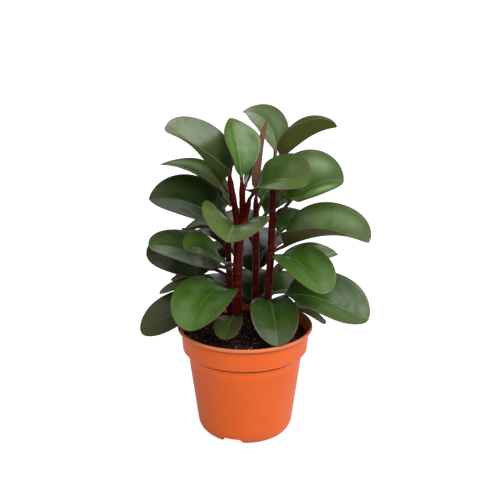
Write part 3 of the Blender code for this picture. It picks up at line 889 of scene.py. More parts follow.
@dataclass(frozen=True)
class PotFinish:
    """The finish of the pot: satin orange plastic, dusty near the ground, with faint drawing lines, and
    painted light and shade by height.

    The slope under the collar, the collar and the lip are painted lighter, as where light falls, and the
    crease under the collar and the collar's top under the lip get painted shade. Each of the bands from the
    slope's to the dust's gives the heights between which a colour comes in.
    """

    face: Colour = (0.55, 0.083, 0.008)
    # Painted light: the slope under the collar faces down and is made lighter, so that it looks as lit as the
    # wall.
    slope: Colour = (0.66, 0.103, 0.010)
    # Painted shade: a dark line in the crease under the collar, and the painted shadow under the lip.
    groove: Colour = (0.24, 0.028, 0.004)
    # Painted light: the collar is lighter than the wall below it.
    collar: Colour = (0.61, 0.092, 0.010)
    # Painted highlight: the lip's top is paler, as where light falls on it.
    lip: Colour = (0.53, 0.155, 0.068)
    worn: Colour = (0.60, 0.103, 0.014)
    dust: Colour = (0.48, 0.105, 0.025)
    lit_slope_mm: Band = (67.0, 73.0)
    shaded_groove_mm: Band = (76.2, 76.8)
    lit_collar_mm: Band = (77.5, 78.0)
    shadow_mm: Band = (95.8, 97.2)
    lit_lip_mm: Band = (98.7, 99.3)
    dust_mm: Band = (2.0, 22.0, 1.0, 0.0)
    shadow_radius: Band = (56.0, 56.3)     # outside this, the collar's top lies in the lip's shadow
    shadow_share: float = 0.75
    worn_share: float = 0.3
    line_share: float = 0.12
    dust_share: float = 0.5
    blotch_scale: float = 55.0
    grain_scale: float = 2200.0
    line_scale: float = 260.0
    line_stretch: Point = (1.0, 1.0, 0.05)
    lines: Band = (0.35, 0.7)
    dust_scale: float = 420.0
    specks: Band = (0.42, 0.62)
    roughness: float = 0.45
    wear: Band = (0.3, 0.7, 0.38, 0.52)
    gloss: float = 0.22
    relief: float = 0.05
    line_relief: float = 0.6

    def build(self, effects: Effects) -> Material:
        """Make the material.

        Args:
            effects: the shared node groups.

        Returns:
            The material.
        """
        surface = Surface("pot_plastic", self.roughness, self.gloss)
        graph = surface.graph
        mottle = surface.mottle(effects, self.blotch_scale, self.grain_scale)
        lines = graph.band(graph.noise(self.line_scale, 2.0, self.line_stretch), *self.lines)
        place = graph.node("ShaderNodeSeparateXYZ", {0: graph.place()}).outputs
        x, y, height = (graph.math("DIVIDE", place[axis], MM) for axis in "XYZ")
        away = graph.math("SQRT", graph.plus(graph.times(x, x), graph.times(y, y)))
        # Painted shadow: the collar's top darkens under the lip.
        shadow = graph.times(graph.band(away, *self.shadow_radius), graph.band(height, *self.shadow_mm))
        specks = graph.band(graph.noise(self.dust_scale, 4.0), *self.specks)
        colour = graph.coats(
            self.face,
            # By height: painted light on the slope, painted shade in the crease, painted light on the collar
            # and a painted highlight on the lip.
            (graph.band(height, *self.lit_slope_mm), FULL, self.slope),
            (graph.band(height, *self.shaded_groove_mm), FULL, self.groove),
            (graph.band(height, *self.lit_collar_mm), FULL, self.collar),
            (shadow, self.shadow_share, self.groove),
            (graph.band(height, *self.lit_lip_mm), FULL, self.lip),
            (mottle["Blotches"], self.worn_share, self.worn),
            (lines, self.line_share, self.worn),
            (graph.times(graph.band(height, *self.dust_mm), specks), self.dust_share, self.dust))
        relief = graph.plus(graph.times(lines, self.line_relief), mottle["Height"])
        return surface.dress(colour, graph.band(mottle["Grain"], *self.wear), relief, self.relief)


@dataclass(frozen=True)
class EarthFinish:
    """The finish of the soil and of what lies in it: two colours, mixed in blotches and grain."""

    name: str
    dark: Colour
    pale: Colour
    relief: float = 0.5
    pale_share: float = 0.5
    blotch_scale: float = 260.0
    grain_scale: float = 1600.0
    grains: Band = (0.4, 0.75)
    roughness: float = 0.9
    wear: Band = (0.0, 1.0, 0.75, 0.95)
    gloss: float = 0.1

    def build(self, effects: Effects) -> Material:
        """Make the material.

        Args:
            effects: the shared node groups.

        Returns:
            The material.
        """
        surface = Surface(self.name, self.roughness, self.gloss)
        graph = surface.graph
        mottle = surface.mottle(effects, self.blotch_scale, self.grain_scale)
        grains = graph.band(mottle["Grain"], *self.grains)
        colour = graph.coats(self.dark, (graph.plus(mottle["Blotches"], grains), self.pale_share, self.pale))
        return surface.dress(colour, graph.band(grains, *self.wear), mottle["Height"], self.relief)


@dataclass
class NurseryPot:
    """The thin moulded pot: lip, collar, shoulder, tapering wall, and a foot with slots.

    A tuple of steps holds points (out, up) in mm from the place that its name says.
    """

    rim_radius: float = 60.0
    rim_top: float = 102.0
    collar_top_radius: float = 56.9
    collar_foot_radius: float = 55.7
    collar_top: float = 98.4
    collar_foot: float = 80.3
    shoulder_radius: float = 50.2
    shoulder_height: float = 70.5
    shoulder_steps: tuple[tuple[float, float], ...] = (
        (-0.35, -3.0), (0.0, 0.0), (0.3, 2.6), (0.55, 4.6), (0.95, 5.9), (1.3, 6.5))
    collar_foot_steps: tuple[tuple[float, float], ...] = (
        (-4.9, -3.2), (-4.6, -2.8), (-3.6, -2.4), (-2.2, -1.7), (-1.0, -0.9), (-0.25, -0.2), (0.0, 0.6))
    lip_rounding: float = 1.3
    lip_corner: float = 1.4
    lip_turn: float = 115.0        # how far the lip's upper corner turns inwards, in degrees
    lip_drop: float = 0.4          # how far the lip's rounded top stays under the rim's height
    lip_gap: float = 0.5           # between the collar's top and the lip's underside
    lip_inner: tuple[float, float] = (0.2, -2.0)       # from the collar's radius and the rim's top
    ledge: tuple[float, float] = (0.7, 0.2)            # from the collar's inner radius and its top
    inner_lifts: tuple[float, ...] = (-0.8, 1.5, -2.5, 0.5)
    knee_radius: float = 13.5
    knee_turn: float = -6.5
    foot_radius: float = 29.1
    foot_inner_radius: float = 27.1
    floor_radius: float = 36.5
    wall: float = 1.4
    floor_underside: float = 4.2
    floor_top: float = 5.8
    centre_foot_radius: float = 12.0
    centre_foot_slope: float = 1.0
    slot_width_low: float = 21.0
    slot_width_high: float = 17.0
    slot_height: float = 4.0
    slot_rise: float = 4.5         # how much higher a slot is at its outer end
    slot_turns: tuple[float, ...] = (-108.0, 12.0, 132.0)
    slot_reach: tuple[float, float] = (24.0, 46.0)
    drain_radius: float = 3.5
    drain_circle: float = 22.0
    drain_count: int = 6
    drain_depth: float = 6.0
    drain_sides: int = 40
    edge_rounding: float = 0.25
    edge_angle: float = 50.0       # edges sharper than this are rounded
    smooth_angle: float = 35.0
    sides: int = 144

    def outside(self) -> Profile:
        """Return the outer profile, from the foot to the top of the lip.

        Returns:
            The points.
        """
        bead, corner = self.lip_rounding, self.lip_corner
        corner_height = self.rim_top - self.lip_drop - corner
        points = arc(self.foot_radius, self.knee_radius, self.knee_radius, -90, self.knee_turn, 10)
        for radius, height, steps in ((self.shoulder_radius, self.shoulder_height, self.shoulder_steps),
                                      (self.collar_foot_radius, self.collar_foot, self.collar_foot_steps)):
            points += [(radius + out, height + up) for out, up in steps]
        points += [(self.collar_top_radius, self.collar_top - self.lip_gap)]
        points += arc(self.rim_radius - bead, self.collar_top + bead, bead, -90, 0, 4)
        points += arc(self.rim_radius - corner, corner_height, corner, 0, self.lip_turn, 7)
        return points + [(self.collar_top_radius + self.lip_inner[0], self.rim_top + self.lip_inner[1])]

    def inside(self, offset: float = 0.0) -> Profile:
        """Return the inner profile from the collar to the floor.

        Args:
            offset: how far it moves inwards, in mm.

        Returns:
            The points.
        """
        step = self.wall + offset
        radii = (self.collar_top_radius, self.collar_foot_radius, self.shoulder_radius, self.shoulder_radius)
        levels = (self.collar_top, self.collar_foot, self.collar_foot, self.shoulder_height)
        wall = [(radius - step, level + lift) for radius, level, lift in zip(radii, levels, self.inner_lifts)]
        centre = self.floor_top + self.knee_radius - self.wall
        return wall + arc(self.foot_radius, centre, self.knee_radius - step, self.knee_turn, -90, 8)

    def _slot_cutter(self, turn: float) -> Piece:
        """Make the body that cuts one of the foot's slots.

        Args:
            turn: where round the foot it lies, in degrees.

        Returns:
            The cutter.
        """
        near, far = (reach * MM for reach in self.slot_reach)
        middle = (near + far) / 2
        cutter = Workshop.start(
            bpy.ops.mesh.primitive_cube_add, "slot_cutter", size=1.0, location=(middle, 0, 0),
            scale=(far - near, self.slot_width_low * MM, 2 * self.slot_height * MM))
        narrow = self.slot_width_high / self.slot_width_low
        for vertex in cutter.data.vertices:
            high = vertex.co.z > 0
            vertex.co.y *= narrow if high else 2 - narrow
            if high and vertex.co.x > middle:
                vertex.co.z += self.slot_rise * MM
        cutter.rotation_euler = (0, 0, math.radians(turn))
        Workshop.settle()
        return cutter

    def _drain_cutter(self, turn: float) -> Piece:
        """Make the body that cuts one of the floor's drain holes.

        Args:
            turn: where round the floor it lies, in radians.

        Returns:
            The cutter.
        """
        place = (self.drain_circle * math.cos(turn) * MM, self.drain_circle * math.sin(turn) * MM,
                 (self.floor_underside + self.floor_top) / 2 * MM)
        return Workshop.start(
            bpy.ops.mesh.primitive_cylinder_add, "drain_cutter", vertices=self.drain_sides,
            radius=self.drain_radius * MM, depth=self.drain_depth * MM, location=place)

    def build(self, material: Material) -> Piece:
        """Model the pot and tie it to the frame.

        Args:
            material: the pot's material.

        Returns:
            The pot.
        """
        out, up = self.ledge
        pot = Workshop.turned_shell("nursery_pot", [
            (self.centre_foot_radius, 0.0),
            (self.centre_foot_radius + self.centre_foot_slope, self.floor_underside),
            (self.floor_radius, self.floor_underside),
            (self.foot_inner_radius, 0.0),
            *self.outside(),
            (self.collar_top_radius - self.wall + out, self.collar_top + up),
            *self.inside(),
            (self.centre_foot_radius, self.floor_top),
        ], self.sides)
        drains = (math.tau * (number + 0.5) / self.drain_count for number in range(self.drain_count))
        cutters = [self._slot_cutter(turn) for turn in self.slot_turns]
        for cutter in cutters + [self._drain_cutter(turn) for turn in drains]:
            Workshop.combine(pot, cutter, "DIFFERENCE")
        Workshop.apply(pot, "BEVEL", width=self.edge_rounding * MM, segments=2, limit_method="ANGLE",
                       angle_limit=math.radians(self.edge_angle))
        return Workshop.finish(pot, material, Slot.PLASTIC, self.smooth_angle, "pot")


@dataclass(frozen=True)
class Litter:
    """One kind of thing that lies on the soil.

    smallest and largest are half sizes in mm, and flat is the thickness against the width. Without facets it
    is a fibre, and with them a lump whose unevenness is a share of its size.
    """

    name: str
    finish: str
    count: int
    smallest: float
    largest: float
    flat: float
    facets: int = 0
    unevenness: float = 0.0
    smooth_angle: float = 60.0


@dataclass
class PottingSoil:
    """The soil that fills the pot, with crumbs, pale flakes and fibres on its uneven top."""

    litter: tuple[Litter, ...]
    top: float = 92.5
    edge_height: float = 91.0
    edge_width: float = 4.0        # over this width the ground falls to its edge
    edge_gap: float = 0.5
    edge_depth: float = 2.0        # points higher than this below the edge belong to the top
    scatter_radius: float = 52.0
    scatter_edge: float = 54.5
    clearance: float = 0.05
    ring_step: float = 0.8
    sides: int = 200
    bumps: Point = (0.7, 0.5, 0.6)     # heights of two waves, and the first one's phase
    bump_turns: tuple[float, ...] = (0.19, 0.17, 0.31, -0.23)
    grain: tuple[Point, ...] = (   # height, fineness and level of each layer of noise
        (1.1, 0.22, 0.0), (0.75, 0.6, 9.0), (0.35, 1.5, 4.0))
    small_ones: float = 2.5        # the larger, the more of the litter is small
    tilt: float = 0.5
    lengths: tuple[float, float] = (0.8, 1.3)          # of the litter, against its size
    widths: tuple[float, float] = (0.7, 1.1)
    lump_scale: float = 1.7
    fibre_radius: float = 0.22
    fibre_bend: tuple[float, float] = (1.2, 2.2)       # its height, and radians in half a fibre
    smooth_angle: float = 70.0
    seed: int = 5

    def height(self, x: float, y: float) -> float:
        """Return the height of the uneven surface.

        Args:
            x: a place in mm.
            y: the same along Y.

        Returns:
            The height in mm.
        """
        first, second, phase = self.bumps
        a, b, c, d = self.bump_turns
        bumps = first * math.sin(a * x + phase) * math.cos(b * y) + second * math.sin(c * y + d * x)
        grain = sum(tall * noise.noise(Vector((x, y, level)) * fine) for tall, fine, level in self.grain)
        return self.top + bumps + grain

    def _level(self, x: float, y: float, edge: float) -> float:
        """Return the height in mm of the ground, which falls towards an edge radius."""
        share = float(smooth_step((edge - math.hypot(x, y)) / self.edge_width))
        return self.edge_height + (self.height(x, y) - self.edge_height) * share

    def _ground(self, pot: NurseryPot) -> Piece:
        """Model the body of soil inside the pot's profile.

        Args:
            pot: the pot that it fills.

        Returns:
            The soil.
        """
        edge = pot.collar_top_radius - pot.wall
        radius = edge - self.clearance - self.edge_gap
        profile = list(reversed(pot.inside(self.clearance)[1:])) + [(radius, self.edge_height)]
        while radius > 2 * self.ring_step:
            radius -= self.ring_step
            profile.append((radius, self.top))
        ground = Workshop.turned_shell("soil_body", profile, self.sides)
        for vertex in ground.data.vertices:
            x, y, z = vertex.co / MM
            if z > self.edge_height - self.edge_depth:
                vertex.co.z = self._level(x, y, edge) * MM
        return ground

    def _places(self, kind: Litter, draw: random.Random) -> list[tuple[np.ndarray, np.ndarray]]:
        """Draw turns, stretches and places on the soil for one kind of litter.

        Args:
            kind: what lies there.
            draw: the seeded source of numbers.

        Returns:
            For each place a 3 by 3 matrix and a point in mm.
        """
        places = []
        for _ in range(kind.count):
            radius = self.scatter_radius * math.sqrt(draw.random())
            turn = draw.uniform(0, math.tau)
            x, y = radius * math.cos(turn), radius * math.sin(turn)
            size = kind.smallest + (kind.largest - kind.smallest) * draw.random() ** self.small_ones
            spin, tilt = draw.uniform(0, math.tau), draw.uniform(-self.tilt, self.tilt)
            (a, b), (c, d) = ((math.cos(angle), math.sin(angle)) for angle in (spin, tilt))
            about_z = np.array([[a, -b, 0], [b, a, 0], [0, 0, 1]])
            about_x = np.array([[1, 0, 0], [0, c, -d], [0, d, c]])
            stretch = np.diag([draw.uniform(*self.lengths), draw.uniform(*self.widths), kind.flat]) * size
            level = self._level(x, y, self.scatter_edge) + size * kind.flat / 4
            places.append((about_z @ about_x @ stretch, np.array([x, y, level])))
        return places

    def _lump(self, kind: Litter) -> Piece:
        """Model a small uneven lump of half size 1 at the origin.

        Args:
            kind: what lies on the soil.

        Returns:
            The lump.
        """
        lump = Workshop.start(bpy.ops.mesh.primitive_ico_sphere_add, "lump",
                              subdivisions=kind.facets, radius=1.0)
        for vertex in lump.data.vertices:
            vertex.co *= 1 + kind.unevenness * noise.noise(vertex.co * self.lump_scale + Vector((3, 1, 7)))
        return lump

    def _fibre(self) -> Piece:
        """Model a thin bent fibre of half length 1 along X, at the origin.

        Returns:
            The fibre.
        """
        fibre = Workshop.start(bpy.ops.mesh.primitive_cylinder_add, "fibre",
                               vertices=5, radius=1.0, depth=2.0, rotation=(0, math.pi / 2, 0))
        bpy.ops.object.mode_set(mode="EDIT")
        bpy.ops.mesh.select_all(action="SELECT")
        bpy.ops.mesh.subdivide(number_cuts=3)
        bpy.ops.object.mode_set(mode="OBJECT")
        bend, waves = self.fibre_bend
        for vertex in fibre.data.vertices:
            vertex.co.y += bend * math.sin(waves * vertex.co.x)
        return fibre

    def _scattered(self, kind: Litter, draw: random.Random) -> Piece:
        """Return one kind of litter, spread over the soil.

        Args:
            kind: what lies there.
            draw: the seeded source of numbers.

        Returns:
            The piece.
        """
        places = self._places(kind, draw)
        if kind.facets:
            return Workshop.scatter(kind.name, self._lump(kind), places)
        slims = (np.diag([1.0, self.fibre_radius / np.linalg.norm(turn[:, 0]), 1.0]) for turn, _ in places)
        strands = [(turn @ slim, place) for (turn, place), slim in zip(places, slims)]
        return Workshop.scatter(kind.name, self._fibre(), strands)

    def build(self, pot: NurseryPot, materials: dict[str, Material]) -> list[Piece]:
        """Model the soil and what lies on it, and tie them to the frame.

        Args:
            pot: the pot that it fills.
            materials: the material of each finish.

        Returns:
            The new pieces.
        """
        draw = random.Random(self.seed)
        scattered = [self._scattered(kind, draw) for kind in self.litter]
        made = [Workshop.finish(self._ground(pot), materials["soil"], Slot.SOIL, self.smooth_angle, "soil")]
        for kind, piece in zip(self.litter, scattered):
            made.append(Workshop.finish(piece, materials[kind.finish], Slot.SOIL, kind.smooth_angle))
        return made


@dataclass
class StemSet:
    """The stems with their branches: slim between the joints, swollen and scarred at them."""

    stems: tuple[Stem, ...]
    leaves: tuple[Leaf, ...]
    sides: int = 28
    row_step: float = 0.75
    slim: float = 0.96             # radius between the joints, against the solid's
    swell: float = 0.07
    joint_length: float = 2.6
    scar_length: float = 0.4
    joint_spacing: float = 19.0
    first_joint: float = 0.6       # the lowest joint's height, as a share of the spacing
    joint_clear: float = 0.4       # the room round a bare joint, as a share of the spacing
    bare_top: float = 4.0          # no bare joint stands closer to the top
    wobble: float = 0.05
    wobble_scale: float = 0.12
    flutes: int = 3
    flute_depth: float = 0.02
    flute_twist: float = 0.05
    bud_length: float = 7.0        # how far below its top a stem without branches starts to narrow
    bud_share: float = 0.74        # the top's radius against the stem's
    cap: tuple[tuple[float, float], ...] = ((0.0, 1.0), (0.45, 0.93), (0.8, 0.72), (1.0, 0.42), (1.08, 0.1))
    plan_steps: int = 3            # steps of the centre line, as in the solid
    fine_steps: int = 24
    smooth_angle: float = 50.0

    def point(self, stem: Stem, height: float) -> tuple[np.ndarray, np.ndarray, float]:
        """Return where a stem's solid is at a height.

        Args:
            stem: the stem.
            height: the height in mm.

        Returns:
            Its centre, its direction and its radius.
        """
        curve = smooth_path(stem.path, self.plan_steps)
        levels = curve[:, 2]
        level = min(max(height, levels[0]), levels[-1])
        index = max(min(int(np.searchsorted(levels, level)), len(curve) - 1), 1)
        share = (level - levels[0]) / (levels[-1] - levels[0])
        radius = stem.foot_radius + (stem.top_radius - stem.foot_radius) * share
        return points_at(curve, levels, level), unit(curve[index] - curve[index - 1]), radius

    def _joints(self, stem: Stem) -> list[float]:
        """Find a stem's joints: where its leaves stand, and where others have fallen.

        Args:
            stem: the stem.

        Returns:
            Their heights in mm.
        """
        heights = [leaf.height for leaf in self.leaves if leaf.stem == stem.name]
        level = stem.path[0][2] + self.joint_spacing * self.first_joint
        while level < stem.path[-1][2] - self.bare_top:
            if all(abs(level - other) > self.joint_spacing * self.joint_clear for other in heights):
                heights.append(level)
            level += self.joint_spacing
        return heights

    def _tube(self, stem: Stem) -> Piece:
        """Model the closed tube of one stem or branch.

        Args:
            stem: the stem or branch.

        Returns:
            The tube.
        """
        curve = smooth_path(stem.path, self.fine_steps)
        lengths = lengths_along(curve)
        centres = points_at(curve, lengths, np.arange(0.0, lengths[-1], self.row_step))
        centres = np.vstack([centres, curve[-1]])
        tangents = np.gradient(centres, axis=0)
        joints = np.array(self._joints(stem))
        branched = any(branch.parent == stem.name for branch in self.stems)
        turns = np.linspace(0, math.tau, self.sides, endpoint=False)
        rings, scars = [], []
        for number, centre in enumerate(centres):
            height = centre[2]
            near, scar = (min(float(np.exp(-((height - joints) / length) ** 2).sum()), 1.0)
                          for length in (self.joint_length, self.scar_length))
            wobble = noise.noise(Vector(centre) * self.wobble_scale + Vector((0, 0, stem.foot_radius)))
            radius = self.point(stem, height)[2] * (self.slim + self.swell * near + self.wobble * wobble)
            if not branched:
                from_top = lengths[-1] - self.row_step * number
                radius *= self.bud_share + (1 - self.bud_share) * smooth_step(from_top / self.bud_length)
            along = unit(tangents[number])
            across = unit(np.array([1.0, 0.0, 0.0]) - along * along[0])
            circle = fan(turns, across, np.cross(along, across))
            flute = 1 + self.flute_depth * np.cos(self.flutes * turns + height * self.flute_twist)
            for lift, shrink in self.cap if number == len(centres) - 1 else self.cap[:1]:
                middle = centre + along * lift * stem.top_radius / 2
                rings.append(middle + (radius * shrink * flute)[:, None] * circle)
                scars.append(np.full(self.sides, scar))
        return Workshop.wrapped_grid(stem.name, np.array(rings), {"scar": np.array(scars)})

    def build(self, material: Material) -> list[Piece]:
        """Model each stem with its branches joined on, and tie it to the frame.

        Args:
            material: the stems' material.

        Returns:
            The stems.
        """
        made = []
        for stem in (one for one in self.stems if not one.parent):
            piece = self._tube(stem)
            for branch in (one for one in self.stems if one.parent == stem.name):
                Workshop.combine(piece, self._tube(branch), "UNION")
            piece.name = f"{stem.name}_flesh"
            made.append(Workshop.finish(piece, material, Slot.STEM, self.smooth_angle, stem.name))
        return made


@dataclass
class Foliage:
    """All the leaves: thick waxy blades on short petioles, folded and curled as the table says."""

    leaves: tuple[Leaf, ...]
    stems: StemSet
    petiole_foot: float = 2.0
    petiole_radius: float = 1.7
    petiole_waist: float = 1.5
    channel_depth: float = 0.22    # of the petiole's upper side, as a share of its radius
    channel_width: float = 0.5     # in radians
    blade_edge: float = 0.7
    blade_middle: float = 1.1
    least_half: float = 0.3
    roll_share: float = 0.3
    blend_share: float = 0.1
    longest_petiole: float = 0.4
    curve_pull: float = 0.38
    sink: float = 1.2
    end_gap: float = 1.0           # what a leaf at its stem's end keeps clear besides
    end_sink: float = 2.8          # and how much deeper its petiole is sunk
    curve_points: int = 241
    tangent_reach: float = 0.8
    half_columns: int = 12
    column_evenness: float = 0.62
    rim_columns: int = 3
    petiole_rows: int = 9
    blade_rows: int = 46
    row_evenness: float = 0.35
    section_points: int = 81
    crease: float = 0.1            # over this share of the half blade the fold begins
    crease_gain: float = 1.02      # of the fold there, which makes up for its slow start
    groove: Point = (0.38, 1.1, 0.6)                   # depth, width, and how fast it fades to the tip
    rib: Point = (0.85, 1.5, 1.4)
    wave_height: float = 0.45
    wave_turns: float = 11.0       # radians from base to tip
    wave_shift: float = 1.3        # radians between the two margins
    wave_phase: float = 1.7        # radians for each mm of a leaf's height
    wave_half: float = 12.0        # half width from which the margin waves fully
    slim_half: float = 2.5         # half width under which the blade thins out
    rim_start: float = 0.02        # share of the blade's length where its margin starts
    least_share: float = 1e-5      # of the blade's length, where its first ring lies
    smooth_angle: float = 70.0

    def _midrib(self, leaf: Leaf) -> tuple[np.ndarray, np.ndarray]:
        """Lay out a leaf's midrib.

        Args:
            leaf: the leaf.

        Returns:
            The midrib's points in mm, from inside the stem to the tip, and the lateral direction.
        """
        stem = next(s for s in self.stems.stems if s.name == leaf.stem)
        root, along, radius = self.stems.point(stem, leaf.height)
        tip = np.array(leaf.tip, float)
        reach = tip - root
        heading = math.atan2(reach[1], reach[0])
        lead, rise, droop = np.radians((leaf.lead, leaf.rise, leaf.droop))
        start, end = direction(heading + lead, rise), direction(heading - lead, -droop)
        terminal = leaf.height > stem.path[-1][2]
        outward = start if terminal else unit(start - along * start.dot(along))
        clear, depth = radius + GAP, self.sink + GAP
        if terminal:
            clear, depth = clear + self.end_gap, depth + self.end_sink
        base = root + start * clear / start.dot(outward)
        pull = self.curve_pull * np.linalg.norm(tip - base)
        t = np.linspace(0, 1, self.curve_points)[:, None]
        a, b, c, d = base, base + start * pull, tip - end * pull, tip
        curve = a * (1 - t) ** 3 + 3 * b * t * (1 - t) ** 2 + 3 * c * t ** 2 * (1 - t) + d * t ** 3
        side = np.array([-math.sin(heading), math.cos(heading), 0.0])
        return np.vstack([base - start * depth, curve]), side

    def _half_width(self, leaf: Leaf, u: float) -> float:
        """Return the blade's half width in mm at a share u of its length."""
        p, q = leaf.widest * leaf.taper, (1 - leaf.widest) * leaf.taper
        return leaf.width / 2 * (u / leaf.widest) ** p * ((1 - u) / (1 - leaf.widest)) ** q

    def _shares(self) -> np.ndarray:
        """Return how far across the blade the upper face's columns lie, closer at midrib and margins."""
        t = np.linspace(-1, 1, 2 * self.half_columns + 1)
        return self.column_evenness * t + (1 - self.column_evenness) * t ** 3

    def _section(self, half: float, fold: float, cup: float, shares: np.ndarray) -> tuple[np.ndarray, ...]:
        """Return how far out and up the points of a curled half blade lie, and the slopes there.

        Args:
            half: the half width in mm.
            fold: the slope beside the midrib, in radians.
            cup: how much the slope grows to the margin, in radians.
            shares: places from the midrib, 0, to the margin, 1.

        Returns:
            The distances out, the distances up and the slopes, one for each share.
        """
        fine = np.linspace(0, 1, self.section_points)
        slope = fold * smooth_step(fine / self.crease) * self.crease_gain + cup * fine
        out, up = (np.concatenate([[0.0], np.cumsum((part[1:] + part[:-1]) / 2)]) * fine[1] * half
                   for part in (np.cos(slope), np.sin(slope)))
        return tuple(np.interp(shares, fine, values) for values in (out, up, slope))

    def _petiole_ring(self, across: np.ndarray, above: np.ndarray, u: float) -> tuple[np.ndarray, float]:
        """Lay out the ring round the petiole, which has a shallow channel above.

        Args:
            across: the direction across the leaf.
            above: the direction out of its upper face.
            u: the share of the blade's length, below 0 on the petiole.

        Returns:
            The ring's points in mm from the midrib, and the radius.
        """
        total = 2 * (2 * self.half_columns + 1 + self.rim_columns)
        turns = math.pi - math.tau * (np.arange(total) + self.rim_columns / 2 + 0.5) / total
        back = min(max(-u, 0.0), 1.0)
        end = self.petiole_foot if back > 0.5 else self.petiole_radius
        waist = self.petiole_waist + (end - self.petiole_waist) * (2 * back - 1) ** 2
        channel = 1 - self.channel_depth * np.exp(-((turns - math.pi / 2) / self.channel_width) ** 2)
        ring = np.outer(np.cos(turns) * waist, across) + np.outer(np.sin(turns) * waist * channel, above)
        return ring, waist

    def _blade_ring(self, leaf: Leaf, across: np.ndarray, above: np.ndarray, along: np.ndarray,
                    u: float) -> tuple[np.ndarray, float]:
        """Lay out the ring round the blade.

        Args:
            leaf: the leaf.
            across: the direction across it.
            above: the direction out of its upper face.
            along: the midrib's direction.
            u: the share of the blade's length.

        Returns:
            The ring's points in mm from the midrib, and the half width.
        """
        shares = self._shares()
        near, sideways = np.abs(shares), np.sign(shares)
        half = max(self._half_width(leaf, u) - self.blade_edge / 2, self.least_half)
        fold = math.radians(leaf.fold + (leaf.open - leaf.fold) * u)
        out, up, slope = self._section(half, fold, math.radians(leaf.cup), near)
        phase = self.wave_phase * leaf.height + leaf.width
        waves = np.sin(self.wave_turns * u + phase + sideways * self.wave_shift)
        up = up + self.wave_height * near ** 2 * waves * min(half / self.wave_half, 1.0)
        slim = min(1.0, half / self.slim_half)
        thick = (self.blade_edge + (self.blade_middle - self.blade_edge) * (1 - near)) * slim
        groove, rib = (depth * (1 - u) ** fading * slim * np.exp(-(near * half / width) ** 2)
                       for depth, width, fading in (self.groove, self.rib))
        normal = np.outer(np.cos(slope), above) - np.outer(np.sin(slope) * sideways, across)
        point = np.outer(out * sideways, across) + np.outer(up, above)
        top = point + normal * (thick / 2 - groove)[:, None]
        low = point - normal * (thick / 2 + rib)[:, None]
        angles = np.linspace(math.pi / 2, -math.pi / 2, self.rim_columns + 2)[1:-1]
        rims = []
        for end, turns in ((-1, angles), (0, -angles)):
            outwards = np.cross(normal[end], along)
            outwards *= np.sign(outwards.dot(point[end]))
            rims.append(point[end] + fan(turns, outwards, normal[end]) * thick[end] / 2)
        return np.vstack([top, rims[0], low[::-1], rims[1]]), half

    def _ring(self, leaf: Leaf, along: np.ndarray, side: np.ndarray, u: float) -> tuple[np.ndarray, float]:
        """Lay out the ring round the leaf at a share u of the blade, below 0 on the petiole.

        Args:
            leaf: the leaf.
            along: the midrib's direction there.
            side: the lateral direction.
            u: the share of the blade's length.

        Returns:
            The ring's points in mm from the midrib, and the half width there.
        """
        level = unit(side - along * side.dot(along))
        upright = np.cross(along, level)
        roll = math.radians(leaf.roll) * smooth_step(u / self.roll_share)
        across = level * math.cos(roll) + upright * math.sin(roll)
        above = upright * math.cos(roll) - level * math.sin(roll)
        stalk, waist = self._petiole_ring(across, above, u)
        if u <= 0:
            return stalk, waist
        blade, half = self._blade_ring(leaf, across, above, along, u)
        return stalk + (blade - stalk) * smooth_step(u / self.blend_share), half

    def _marks(self, places: list[float], halves: list[float]) -> dict[str, np.ndarray]:
        """Note each point's place on the leaf for its finish.

        Args:
            places: how far along the blade each ring is, 0 to 1, and below 0 on the petiole.
            halves: each ring's half width in mm.

        Returns:
            The values by name, one for each point.
        """
        across, ends = self._shares(), np.ones(self.rim_columns)
        whole, none = np.ones_like(across), np.zeros_like(across)
        rows = np.ones(len(places))
        columns = np.ones(2 * (len(across) + self.rim_columns))
        return {
            "across": np.outer(rows, np.concatenate([across, ends, across[::-1], -ends])),
            "along": np.outer(places, columns),
            "half": np.outer(halves, columns),
            "upper": np.outer(rows, np.concatenate([whole, ends / 2, none, ends / 2])),
            "rim": np.outer(np.array(places) > self.rim_start, np.concatenate([none, ends, none, ends])),
        }

    def _blade(self, leaf: Leaf) -> Piece:
        """Model one leaf as a closed mesh, with each point's place on it kept for the finish.

        Args:
            leaf: the leaf.

        Returns:
            The leaf.
        """
        curve, side = self._midrib(leaf)
        lengths = lengths_along(curve)
        total, sunk = lengths[-1], lengths[1]
        begin = sunk + min(leaf.petiole, (total - sunk) * self.longest_petiole)
        t = np.linspace(0, 1, self.petiole_rows, endpoint=False)
        stations = [(begin * share, share - 1.0) for share in t]
        t = np.linspace(0, 1, self.blade_rows)
        shares = self.row_evenness * t + (1 - self.row_evenness) * (1 - np.cos(math.pi * t)) / 2
        stations += [(begin + (total - begin) * u, max(u, self.least_share)) for u in shares]
        rings, halves = [], []
        for distance, u in stations:
            centre, ahead, behind = (points_at(curve, lengths, distance + step)
                                     for step in (0.0, self.tangent_reach, -self.tangent_reach))
            ring, half = self._ring(leaf, unit(ahead - behind), side, u)
            rings.append(centre + ring)
            halves.append(half)
        marks = self._marks([u for _, u in stations], halves)
        return Workshop.wrapped_grid(f"{leaf.name}_blade", np.array(rings), marks)

    def build(self, materials: dict[Tone, Material]) -> list[Piece]:
        """Model every leaf and tie it to the frame.

        Args:
            materials: the material of each tone.

        Returns:
            The leaves.
        """
        tones = {name: tone for tone, names in LEAF_TONES.items() for name in names}
        made = []
        for leaf in self.leaves:
            material = materials[tones.get(leaf.name, Tone.GREEN)]
            made.append(Workshop.finish(self._blade(leaf), material, Slot.LEAF, self.smooth_angle, leaf.name))
        return made


